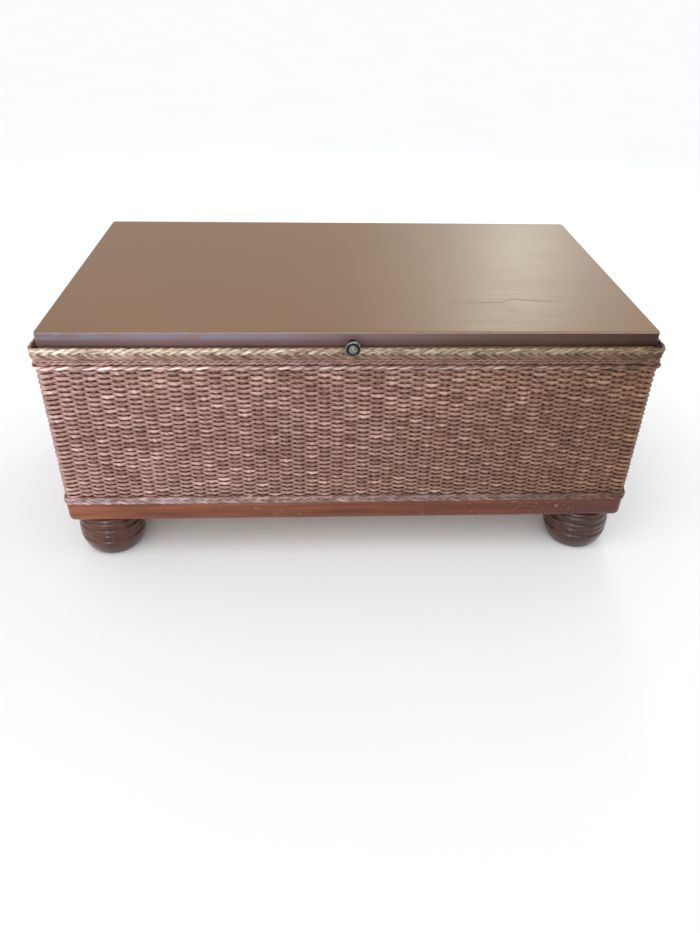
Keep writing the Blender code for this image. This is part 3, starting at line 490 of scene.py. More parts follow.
# --------------------------------------------------------------- mesh helpers
def make(name, verts, quads, mat, tris=None, uvs=None, body="case",
         smooth=True):
    """An object from arrays. uvs is {name: (loops, 2) array}, quads first."""
    mesh = bpy.data.meshes.new(name)
    quads = np.asarray(quads, dtype=np.int32).reshape(-1, 4)
    tris = np.zeros((0, 3), np.int32) if tris is None else np.asarray(tris, np.int32).reshape(-1, 3)
    loops = np.concatenate([quads.ravel(), tris.ravel()])
    starts = np.concatenate([np.arange(len(quads)) * 4,
                             len(quads) * 4 + np.arange(len(tris)) * 3]).astype(np.int32)
    mesh.vertices.add(len(verts))
    mesh.vertices.foreach_set("co", np.asarray(verts, np.float32).ravel())
    mesh.loops.add(len(loops))
    mesh.loops.foreach_set("vertex_index", loops.astype(np.int32))
    mesh.polygons.add(len(starts))
    mesh.polygons.foreach_set("loop_start", starts)
    mesh.update(calc_edges=True)
    for key, values in (uvs or {}).items():
        layer = mesh.uv_layers.new(name=key)
        layer.data.foreach_set("uv", np.asarray(values, np.float32).ravel())
    if mesh.validate():
        print("mesh repaired:", name)
    if smooth:
        mesh.shade_smooth()
    mesh.materials.append(mat)
    obj = bpy.data.objects.new(name, mesh)
    bpy.context.scene.collection.objects.link(obj)
    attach(obj, body)
    return obj


def merged(parts):
    """Join (verts, quads, tris, {uv: values}) parts into one set of arrays."""
    verts, quads, tris, uvq, uvt, base = [], [], [], {}, {}, 0
    for v, q, t, uv in parts:
        verts.append(v)
        quads.append(q + base)
        if len(t):
            tris.append(t + base)
        for key, values in uv.items():
            uvq.setdefault(key, []).append(values[:len(q) * 4])
            uvt.setdefault(key, []).append(values[len(q) * 4:])
        base += len(v)
    tris = np.concatenate(tris) if tris else np.zeros((0, 3), int)
    return (np.concatenate(verts), np.concatenate(quads), tris,
            {k: np.concatenate(uvq[k] + uvt[k]) for k in uvq})


def loop_path(half_x, half_y, radius, step, corner_steps):
    """A rounded rectangle in plan, from the middle of the back round by the
    left, front and right. Gives arc length, points, outward normals, the total
    length and the arc lengths of the four corner middles."""
    cx, cy = half_x - radius, half_y - radius
    pts, nrm = [], []

    def straight(a, b, n):
        count = max(1, int(round(math.dist(a, b) / step)))
        for i in range(count):
            t = i / count
            pts.append((a[0] + (b[0] - a[0]) * t, a[1] + (b[1] - a[1]) * t))
            nrm.append(n)

    def corner(ox, oy, start):
        for i in range(corner_steps):
            ang = start + 0.5 * math.pi * i / corner_steps
            n = (math.cos(ang), math.sin(ang))
            pts.append((ox + radius * n[0], oy + radius * n[1]))
            nrm.append(n)

    straight((0, half_y), (-cx, half_y), (0, 1))
    corner(-cx, cy, 0.5 * math.pi)
    straight((-half_x, cy), (-half_x, -cy), (-1, 0))
    corner(-cx, -cy, math.pi)
    straight((-cx, -half_y), (cx, -half_y), (0, -1))
    corner(cx, -cy, 1.5 * math.pi)
    straight((half_x, -cy), (half_x, cy), (1, 0))
    corner(cx, cy, 0.0)
    straight((cx, half_y), (0, half_y), (0, 1))
    arc = 0.5 * math.pi * radius
    c1 = cx + arc / 2
    c2 = c1 + 2 * cy + arc
    c3 = c2 + 2 * cx + arc
    c4 = c3 + 2 * cy + arc
    total = 4 * cx + 4 * cy + 4 * arc
    s, out = 0.0, []
    lengths = []
    for i, p in enumerate(pts):
        lengths.append(s)
        q = pts[(i + 1) % len(pts)]
        n0, n1 = nrm[i], nrm[(i + 1) % len(pts)]
        turn = math.acos(max(-1, min(1, n0[0] * n1[0] + n0[1] * n1[1])))
        s += radius * turn if turn > 1e-6 else math.dist(p, q)
    pts = np.array(pts)
    pts[:, 1] += YC
    return (np.array(lengths), pts, np.array(nrm, float), s, (c1, c2, c3, c4))


def wander(s, total, spacing, rng):
    """A smooth random curve over a closed length, between -1 and 1."""
    count = max(4, int(round(total / spacing)))
    values = rng.uniform(-1, 1, count)
    at = s / total * count
    i = np.floor(at).astype(int)
    f = at - i
    f = f * f * (3 - 2 * f)
    return values[i % count] * (1 - f) + values[(i + 1) % count] * f


def strip_uvs(n, m, s, total, row, rows, cuts, strand, extra=None):
    """UVs of a closed tube: OFBake in rows, fibre in metres along it."""
    i = np.arange(n)
    per = -(-n // cuts)
    seg = i // per
    u0 = 0.004 + 0.992 * (i - seg * per) / per
    u1 = 0.004 + 0.992 * (i - seg * per + 1) / per
    h = 1.0 / rows
    low = (row + seg) * h + 0.09 * h
    v = np.arange(m + 1) / m * 0.82 * h
    v0 = low[:, None] + v[None, :-1]
    v1 = low[:, None] + v[None, 1:]
    bake = np.empty((n, m, 4, 2))
    bake[..., 0, 0] = bake[..., 3, 0] = u0[:, None]
    bake[..., 1, 0] = bake[..., 2, 0] = u1[:, None]
    bake[..., 0, 1] = bake[..., 1, 1] = v0
    bake[..., 2, 1] = bake[..., 3, 1] = v1
    ends = np.append(s[1:], total)
    around = np.arange(m + 1) / m + strand
    fibre = np.empty((n, m, 4, 2))
    fibre[..., 0, 0] = fibre[..., 3, 0] = s[:, None]
    fibre[..., 1, 0] = fibre[..., 2, 0] = ends[:, None]
    fibre[..., 0, 1] = fibre[..., 1, 1] = around[None, :-1]
    fibre[..., 2, 1] = fibre[..., 3, 1] = around[None, 1:]
    out = {"OFBake": bake.reshape(-1, 2), "fibre": fibre.reshape(-1, 2)}
    if extra is not None:
        a, b = extra
        a1, b1 = np.roll(a, -1), np.roll(b, -1)
        more = np.empty((n, m, 4, 2))
        more[..., 0, 0] = more[..., 3, 0] = a[:, None]
        more[..., 1, 0] = more[..., 2, 0] = a1[:, None]
        more[..., 0, 1] = more[..., 3, 1] = b[:, None]
        more[..., 1, 1] = more[..., 2, 1] = b1[:, None]
        out["bulge"] = more.reshape(-1, 2)
    return out


def closed_tube(pts, nrm, out, up, r_out, r_up, lobes=0, lobe_depth=0.0,
                twist=None, m=8):
    """A closed tube round the trunk. out and up shift its centre from the
    path; r_out and r_up are its radii; lobes turn with twist (radians)."""
    n = len(pts)
    ang = math.pi + 2 * math.pi * np.arange(m) / m
    factor = np.ones((n, m))
    if lobes:
        factor += lobe_depth * np.cos(lobes * (ang[None, :] - twist[:, None]))
    c = np.cos(ang)[None, :] * r_out[:, None] * factor
    d = np.sin(ang)[None, :] * r_up[:, None] * factor
    reach = out[:, None] + c
    verts = np.empty((n, m, 3))
    verts[..., 0] = pts[:, None, 0] + nrm[:, None, 0] * reach
    verts[..., 1] = pts[:, None, 1] + nrm[:, None, 1] * reach
    verts[..., 2] = up[:, None] + d
    i = np.arange(n)[:, None]
    j = np.arange(m)[None, :]
    ni, nj = (i + 1) % n, (j + 1) % m
    quads = np.stack([i * m + j, ni * m + j, ni * m + nj, i * m + nj], -1)
    return verts.reshape(-1, 3), quads.reshape(-1, 4)


EMPTY = np.zeros((0, 3), int)

# ---------------------------------------------------------------- woven sides
MID = 0.0047                   # weave's middle plane, in from the woven face
SWING = 0.0040                 # how far a weft leaves that plane
ACROSS, DEEP = 45, 27          # stakes along the front and along a side
WEFT_M = 8


def weave():
    s, pts, nrm, total, corners = loop_path(SKIN_X - MID, SKIN_Y - MID, 0.006,
                                            0.00245, 8)
    knots_s = [0.0, corners[0], corners[1], corners[2], corners[3], total]
    knots_j = [ACROSS / 2, ACROSS, ACROSS + DEEP, 2 * ACROSS + DEEP,
               2 * (ACROSS + DEEP), 2 * (ACROSS + DEEP) + ACROSS / 2]
    j = np.interp(s, knots_s, knots_j)
    wave = np.sin(math.pi * j)
    wave = np.sign(wave) * np.abs(wave) ** 0.9
    crown = np.abs(wave)
    stake_no = np.floor(j).astype(int) % (2 * (ACROSS + DEEP))

    # the rows are packed closest near the foot and open up under the border
    rows, gaps = [], []
    z = SKIN_LOW + 0.0026
    while z < SKIN_TOP - 0.0025:
        rows.append(z)
        gaps.append(float(np.interp(z, (0.16, 0.22, 0.26, 0.30, 0.34, 0.38, 0.44),
                                    (0.00450, 0.00452, 0.00472, 0.00460, 0.00462,
                                     0.00520, 0.00528))))
        z += gaps[-1]
    # at the four corners a weft turns round the post and stands a little prouder
    turn = np.zeros(len(s))
    for c in corners:
        turn = np.maximum(turn, np.exp(-((s - c) / 0.0115) ** 2))
    rng = np.random.default_rng(11)
    drift = np.stack([wander(s, total, 0.30, rng), wander(s, total, 0.21, rng)])
    stake_push = rng.uniform(0.90, 1.04, 2 * (ACROSS + DEEP))[stake_no]
    parts, band, bands = [], 0, []
    per_band = 8
    for r, z in enumerate(rows):
        sign = 1 if r % 2 else -1
        k = r % per_band
        height = (z - rows[0]) / (rows[-1] - rows[0])
        ease = min(1.0, 4 * height, 4 * (1 - height))
        up = (z + 0.0009 * ease * (drift[0] * (1 - height) + drift[1] * height)
              + 0.00028 * wander(s, total, 0.026, rng)
              + 0.00022 * wander(s, total, 0.075, rng))
        chance = rng.uniform(0, 1, 2 * (ACROSS + DEEP))[stake_no]
        loose = 1 + 0.06 * wander(s, total, 0.03, rng)
        out = sign * wave * SWING * stake_push * np.minimum(loose, 1.03) + 0.0034 * turn
        r_out = 0.00205 * (1 + 0.07 * wander(s, total, 0.019, rng))
        half = gaps[r] / 2
        r_up = (half * (1.13 + 0.03 * crown)
                * (1 + 0.07 * wander(s, total, 0.021, rng)))
        r_up *= 0.94 + 0.16 * chance * crown
        lays = round(2 * total / 0.021)
        twist = math.pi * lays * s / total + rng.uniform(0, 6)
        v, q = closed_tube(pts, nrm, out, up, r_out, r_up, 2, 0.085, twist, WEFT_M)
        front = np.maximum(0.5 + 0.5 * sign * wave, 0.8 * turn)
        uv = strip_uvs(len(pts), WEFT_M, s, total, k * 6, per_band * 6, 6,
                       r * 3.37, (front, chance))
        parts.append((v, q, EMPTY, uv))
        if k == per_band - 1 or r == len(rows) - 1:
            band += 1
            v, q, t, uv = merged(parts)
            bands.append(make("weave_band_%d" % band, v, q, WEFT, t, uv))
            parts = []

    # the stakes that the wefts pass in front of and behind
    parts = []
    total_stakes = 2 * (ACROSS + DEEP)
    levels = np.linspace(SKIN_LOW + 0.0006, SKIN_TOP - 0.0004, 26)
    for k in range(total_stakes):
        at = np.interp(k + 0.5 + (0 if k + 0.5 > knots_j[0] else total_stakes),
                       knots_j, knots_s)
        x = np.interp(at, np.append(s, total), np.append(pts[:, 0], pts[0, 0]))
        y = np.interp(at, np.append(s, total), np.append(pts[:, 1], pts[0, 1]))
        bend = rng.uniform(-1, 1, 6)
        sway = 0.0004 * np.interp(np.linspace(0, 5, 26), range(6), bend)
        i = int(np.argmin(np.abs(s - at)))
        tangent = (-nrm[i, 1], nrm[i, 0])
        rad = 0.00175 * rng.uniform(0.94, 1.04)
        m = 8
        ang = 2 * math.pi * np.arange(m) / m
        v = np.empty((26, m, 3))
        wide = sway[:, None] + 0.0053 * np.cos(ang)[None, :]
        deep = -rad * np.sin(ang)[None, :]
        v[..., 0] = x + wide * tangent[0] + deep * nrm[i, 0]
        v[..., 1] = y + wide * tangent[1] + deep * nrm[i, 1]
        v[..., 2] = levels[:, None]
        ii, jj = np.arange(25)[:, None], np.arange(m)[None, :]
        nj = (jj + 1) % m
        q = np.stack([ii * m + jj, ii * m + nj, (ii + 1) * m + nj, (ii + 1) * m + jj],
                     -1).reshape(-1, 4)
        v = v.reshape(-1, 3)
        ends = np.array([[x, y, levels[0] - 0.0002], [x, y, levels[-1] + 0.0002]])
        v = np.concatenate([v, ends])
        t = [(26 * m, (a + 1) % m, a) for a in range(m)]
        t += [(26 * m + 1, 25 * m + a, 25 * m + (a + 1) % m) for a in range(m)]
        t = np.array(t)
        col, row_no = k % 12, k // 12
        u = np.empty((25, m, 4, 2))
        f = np.empty((25, m, 4, 2))
        for c, (di, dj) in enumerate(((0, 0), (0, 1), (1, 1), (1, 0))):
            u[..., c, 0] = (col + 0.06 + 0.88 * (jj + dj) / m) / 12
            u[..., c, 1] = (row_no + 0.02 + 0.96 * (ii + di) / 25) / 13
            f[..., c, 0] = levels[ii + di]
            f[..., c, 1] = (jj + dj) / m + k * 2.71
        cap = np.tile([[(col + 0.5) / 12, (row_no + 0.5) / 13]], (len(t) * 3, 1))
        capf = np.tile([[levels[0], k * 2.71]], (len(t) * 3, 1))
        parts.append((v, q, t, {"OFBake": np.concatenate([u.reshape(-1, 2), cap]),
                                "fibre": np.concatenate([f.reshape(-1, 2), capf])}))
    # thicker canes stand in the four corners
    for k, at in enumerate(corners):
        x = np.interp(at, s, pts[:, 0])
        y = np.interp(at, s, pts[:, 1])
        m = 12
        ang = 2 * math.pi * np.arange(m) / m
        levels = np.linspace(SKIN_LOW + 0.0006, SKIN_TOP - 0.0004, 26)
        v = np.empty((26, m, 3))
        v[..., 0] = x + 0.0042 * np.cos(ang)[None, :]
        v[..., 1] = y + 0.0042 * np.sin(ang)[None, :]
        v[..., 2] = levels[:, None]
        ii, jj = np.arange(25)[:, None], np.arange(m)[None, :]
        nj = (jj + 1) % m
        q = np.stack([ii * m + jj, ii * m + nj, (ii + 1) * m + nj, (ii + 1) * m + jj],
                     -1).reshape(-1, 4)
        ends = np.array([[x, y, levels[0] - 0.0002], [x, y, levels[-1] + 0.0002]])
        v = np.concatenate([v.reshape(-1, 3), ends])
        t = np.array([(26 * m, (a + 1) % m, a) for a in range(m)]
                     + [(26 * m + 1, 25 * m + a, 25 * m + (a + 1) % m) for a in range(m)])
        u = np.empty((25, m, 4, 2))
        f = np.empty((25, m, 4, 2))
        for c, (di, dj) in enumerate(((0, 0), (0, 1), (1, 1), (1, 0))):
            u[..., c, 0] = (4 + k * 2 + 0.06 + 1.8 * (jj + dj) / m) / 12.5
            u[..., c, 1] = 1.0 - 0.076 + 0.07 * (ii + di) / 25
            f[..., c, 0] = levels[ii + di]
            f[..., c, 1] = 2 * (jj + dj) / m + k * 1.71
        cap = np.tile([[(5 + k * 2) / 12.5, 0.99]], (len(t) * 3, 1))
        capf = np.tile([[levels[0], k * 1.71]], (len(t) * 3, 1))
        parts.append((v, q, t, {"OFBake": np.concatenate([u.reshape(-1, 2), cap]),
                                "fibre": np.concatenate([f.reshape(-1, 2), capf])}))
    v, q, t, uv = merged(parts)
    stakes = make("weave_stakes", v, q, STAKE, t, uv)
    for side in ("front", "back", "left", "right"):
        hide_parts("woven_panel_" + side)
    return bands


weave()


# ------------------------------------------------------------ braids and cords
def hinge_dip(pts):
    """1 where a cord passes under a hinge barrel at the back, else 0."""
    near = np.zeros(len(pts))
    for side in ("left", "right"):
        lo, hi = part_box("hinge_case_leaf_" + side)
        gap = np.maximum(lo.x - 0.004 - pts[:, 0], pts[:, 0] - hi.x - 0.004)
        near = np.maximum(near, np.clip(1 - gap / 0.012, 0, 1))
    return near * (pts[:, 1] > YC)


def plait(name, mat, mids, z_mid, half_high, half_deep, period, r_up, r_out, seed,
          node, step=0.0021, m=10, dip=0.0, lean=0.0, spread=0.52):
    """A flat plait of three strands, each of two bundles of grass side by side.
    The depth of a strand follows twice its height's angle, so the upper halves
    lean one way and the lower halves the other."""
    s, pts, nrm, total, _ = loop_path(SKIN_X + mids, SKIN_Y + mids,
                                      SKIN_R + mids, step, 10)
    rng = np.random.default_rng(seed)
    count = round(total / period)
    low = hinge_dip(pts)
    av, ad = half_high - r_up, half_deep - r_out
    parts = []
    slip = 0.20 * wander(s, total, 0.11, rng)
    n = 0
    for k in range(3):
        th = 2 * math.pi * (count * s / total + k / 3) + slip
        th = th + 0.14 * wander(s, total, 0.05, rng)
        for b in (-1, 1):
            turn = th + b * spread * (1 + 0.16 * wander(s, total, 0.04, rng))
            up = z_mid + av * np.sin(turn) * (1 + 0.06 * wander(s, total, 0.06, rng))
            out = ad * np.sin(2 * turn) + lean * np.sin(turn)
            front = 0.5 + 0.5 * np.sin(2 * turn)
            chance = 0.5 + 0.42 * wander(s, total, 0.012, rng)
            fat = 1 + 0.10 * wander(s, total, 0.033, rng)
            ru = r_up * fat
            ro = r_out * (1 + 0.08 * wander(s, total, 0.027, rng))
            up = up - low * dip
            out = out + low * 0.0006
            lays = round(5 * total / 0.09)
            tw = 2 * math.pi * lays * s / total / 5 + k + b
            v, q = closed_tube(pts, nrm, out, up, ro, ru, 5, 0.10, tw, m)
            parts.append((v, q, EMPTY, strip_uvs(len(pts), m, s, total, n * 6, 36, 6,
                                                 seed * 9 + n * 5.3, (front, chance))))
            n += 1
    v, q, t, uv = merged(parts)
    obj = make(name, v, q, mat, t, uv)
    if node:
        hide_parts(node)
    return obj


def rope(name, mat, mids, z_mid, r_rope, r_ply, lay, seed, node=None,
         plies=2, step=0.0022, m=12, squash=1.0, hand=1, dip=0.0):
    """A laid rope of two or three plies wound round its own middle."""
    s, pts, nrm, total, _ = loop_path(SKIN_X + mids, SKIN_Y + mids,
                                      SKIN_R + mids, step, 10)
    rng = np.random.default_rng(seed)
    turns = round(total / lay)
    parts = []
    slip = 0.35 * wander(s, total, 0.09, rng)
    low = hinge_dip(pts)
    for k in range(plies):
        th = hand * 2 * math.pi * turns * s / total + 2 * math.pi * k / plies + slip
        reach = r_rope - r_ply
        up = z_mid + reach * np.sin(th) + 0.00025 * wander(s, total, 0.05, rng)
        out = squash * reach * np.cos(th)
        up = up - dip * low
        front = 0.5 + 0.5 * np.cos(th)
        chance = 0.5 + 0.42 * wander(s, total, 0.017, rng)
        fat = 1 + 0.09 * wander(s, total, 0.03, rng)
        lays = round(3 * total / 0.06)
        tw = 2 * math.pi * lays * s / total / 3 + k
        v, q = closed_tube(pts, nrm, out, up, r_ply * squash * fat, r_ply * fat, 3,
                           0.07, tw, m)
        parts.append((v, q, EMPTY, strip_uvs(len(pts), m, s, total, k * 8, 8 * plies,
                                             8, seed * 7 + k * 4.1, (front, chance))))
    v, q, t, uv = merged(parts)
    obj = make(name, v, q, mat, t, uv)
    if node:
        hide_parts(node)
    return obj


plait("top_plait", PLAIT, 0.0032, TOP_MID, (TOP_HI.z - TOP_LO.z) / 2 + 0.0018,
      0.0031, 0.094, 0.0033, 0.0020, 3, "top_braid", dip=0.0068,
      lean=0.0007)
# the near-black rim cord fills the gap under the lid's edge as painted shade
rope("rim_cord", RIM_DARK, -0.0036, LID_LOW - 0.0036, 0.0034, 0.0020, 0.020, 14,
     m=8, dip=0.0064)
rope("upper_twisted_cord", CORD_PALE, 0.0038, (CORD_LO.z + CORD_HI.z) / 2, 0.0037, 0.0023,
     0.046, 5, "upper_cord")
rope("dark_cord_upper", CORD_DARK, 0.0008, TOP_LO.z - 0.0020, 0.0027, 0.0017, 0.024, 8,
     m=8)
rope("dark_cord_lower", CORD_DARK, 0.0012, TOP_LO.z - 0.0066, 0.0029, 0.0018, 0.026, 9,
     m=8)
BASE_DEEP = 0.0050
plait("base_plait", BASE_MAT, 0.0003 + BASE_DEEP / 2, (BASE_LO.z + BASE_HI.z) / 2,
      (BASE_HI.z - BASE_LO.z) / 2, BASE_DEEP / 2, 0.100, 0.0026, 0.0016, 13,
      "base_braid")


# --------------------------------------------------------------------- fibres
def loose_fibres():
    """Short ends of grass that stand out of the plait and cords."""
    rng = np.random.default_rng(21)
    specs = []
    for _ in range(150):
        specs.append((TOP_LO.z + rng.uniform(0.001, 0.0165), 0.0056, 0.011))
    for _ in range(60):
        specs.append(((CORD_LO.z + CORD_HI.z) / 2 + rng.uniform(-0.002, 0.002), 0.0074, 0.009))
    for _ in range(70):
        specs.append((BASE_LO.z + rng.uniform(0.002, 0.012), BASE_DEEP * 0.9, 0.009))
    s, pts, nrm, total, _ = loop_path(SKIN_X, SKIN_Y, SKIN_R, 0.004, 6)
    parts = []
    for n, (z, out, length) in enumerate(specs):
        i = int(rng.integers(len(pts)))
        p = np.array([pts[i, 0] + nrm[i, 0] * out, pts[i, 1] + nrm[i, 1] * out, z])
        o = np.array([nrm[i, 0], nrm[i, 1], 0.0])
        tng = np.array([-nrm[i, 1], nrm[i, 0], 0.0])
        lean = rng.uniform(-1, 1)
        lean = lean if abs(lean) > 0.3 else 0.5
        length *= rng.uniform(0.5, 1.2)
        t = np.linspace(0, 1, 6)[:, None]
        curl = rng.uniform(0.3, 1.0)
        line = (p + tng * lean * length * t + o * (0.0013 * np.sin(t * 2.2) * curl)
                + np.array([0, 0, 1.0]) * rng.uniform(-0.6, 0.3) * length * t ** 2 * 0.5)
        rad = 0.00028 * (1 - 0.75 * t[:, 0])
        m = 4
        ang = 2 * math.pi * np.arange(m) / m
        v = (line[:, None, :] + o * (np.cos(ang)[None, :, None] * rad[:, None, None])
             + np.array([0, 0, 1.0]) * (np.sin(ang)[None, :, None] * rad[:, None, None]))
        ii, jj = np.arange(5)[:, None], np.arange(m)[None, :]
        nj = (jj + 1) % m
        q = np.stack([ii * m + jj, (ii + 1) * m + jj, (ii + 1) * m + nj, ii * m + nj], -1)
        if lean < 0:
            q = q[..., ::-1]
        q = q.reshape(-1, 4)
        tr = np.array([(0, 1, 2), (0, 2, 3), (20, 22, 21), (20, 23, 22)])
        if lean < 0:
            tr = tr[:, ::-1]
        col, row = n % 20, n // 20
        u = np.empty((5, m, 4, 2))
        f = np.empty((5, m, 4, 2))
        for c, (di, dj) in enumerate(((0, 0), (1, 0), (1, 1), (0, 1))):
            u[..., c, 0] = (col + 0.1 + 0.8 * (ii + di) / 5) / 20
            u[..., c, 1] = (row + 0.1 + 0.8 * (jj + dj) / m) / 20
            f[..., c, 0] = (ii + di) * 0.002
            f[..., c, 1] = (jj + dj) / m + n * 1.37
        cap = np.tile([[(col + 0.5) / 20, (row + 0.5) / 20]], (12, 1))
        capf = np.tile([[0.001, n * 1.37]], (12, 1))
        # the stray fibres get a high value in the bulge map, so the plait's painted shade leaves them
        # unshaded
        lit = np.full((len(q) * 4 + 12, 2), 0.7)
        parts.append((v.reshape(-1, 3), q, tr,
                      {"OFBake": np.concatenate([u.reshape(-1, 2), cap]),
                       "fibre": np.concatenate([f.reshape(-1, 2), capf]), "bulge": lit}))
    v, q, t, uv = merged(parts)
    return make("loose_fibres", v, q, PLAIT, t, uv)


loose_fibres()


# ------------------------------------------------------------------ lid cover
def graded(lo, hi, fine_lo, fine_hi, fine, coarse, edge):
    """Grid lines: close at both ends and in the stretch that is creased."""
    out = [lo + e for e in edge]
    at = out[-1]
    while at < hi - edge[-1] - coarse:
        at += fine if fine_lo <= at <= fine_hi else coarse
        out.append(at)
    while out[-1] > hi - edge[-1] - 0.4 * fine:
        out.pop()
    out += [hi - e for e in reversed(edge)]
    return np.array(out)


def ridge(x, y, line, width, height):
    """A raised crease along a polyline, tapering at its ends."""
    best = np.full(x.shape, 1e9)
    along = np.zeros(x.shape)
    total = sum(math.dist(a, b) for a, b in zip(line, line[1:]))
    run = 0.0
    for a, b in zip(line, line[1:]):
        ax, ay = a
        dx, dy = b[0] - ax, b[1] - ay
        seg = math.hypot(dx, dy)
        t = np.clip(((x - ax) * dx + (y - ay) * dy) / seg ** 2, 0, 1)
        d = np.hypot(x - ax - t * dx, y - ay - t * dy)
        near = d < best
        best = np.where(near, d, best)
        along = np.where(near, run + t * seg, along)
        run += seg
    taper = np.clip(np.minimum(along, total - along) / (0.28 * total), 0, 1)
    taper = taper * taper * (3 - 2 * taper)
    core = np.exp(-(best / width) ** 2)
    dip = np.exp(-(best / (2.6 * width)) ** 2)
    return height * taper * (core - 0.35 * dip)


def field(x, y, cell, seed):
    """Smooth random height on a plane."""
    rng = np.random.default_rng(seed)
    grid = rng.uniform(-1, 1, (64, 64))
    gx, gy = x / cell + 20, y / cell + 20
    i, j = np.floor(gx).astype(int), np.floor(gy).astype(int)
    fx, fy = gx - i, gy - j
    fx, fy = fx * fx * (3 - 2 * fx), fy * fy * (3 - 2 * fy)
    a = grid[i % 64, j % 64] * (1 - fx) + grid[(i + 1) % 64, j % 64] * fx
    b = grid[i % 64, (j + 1) % 64] * (1 - fx) + grid[(i + 1) % 64, (j + 1) % 64] * fx
    return a * (1 - fy) + b * fy


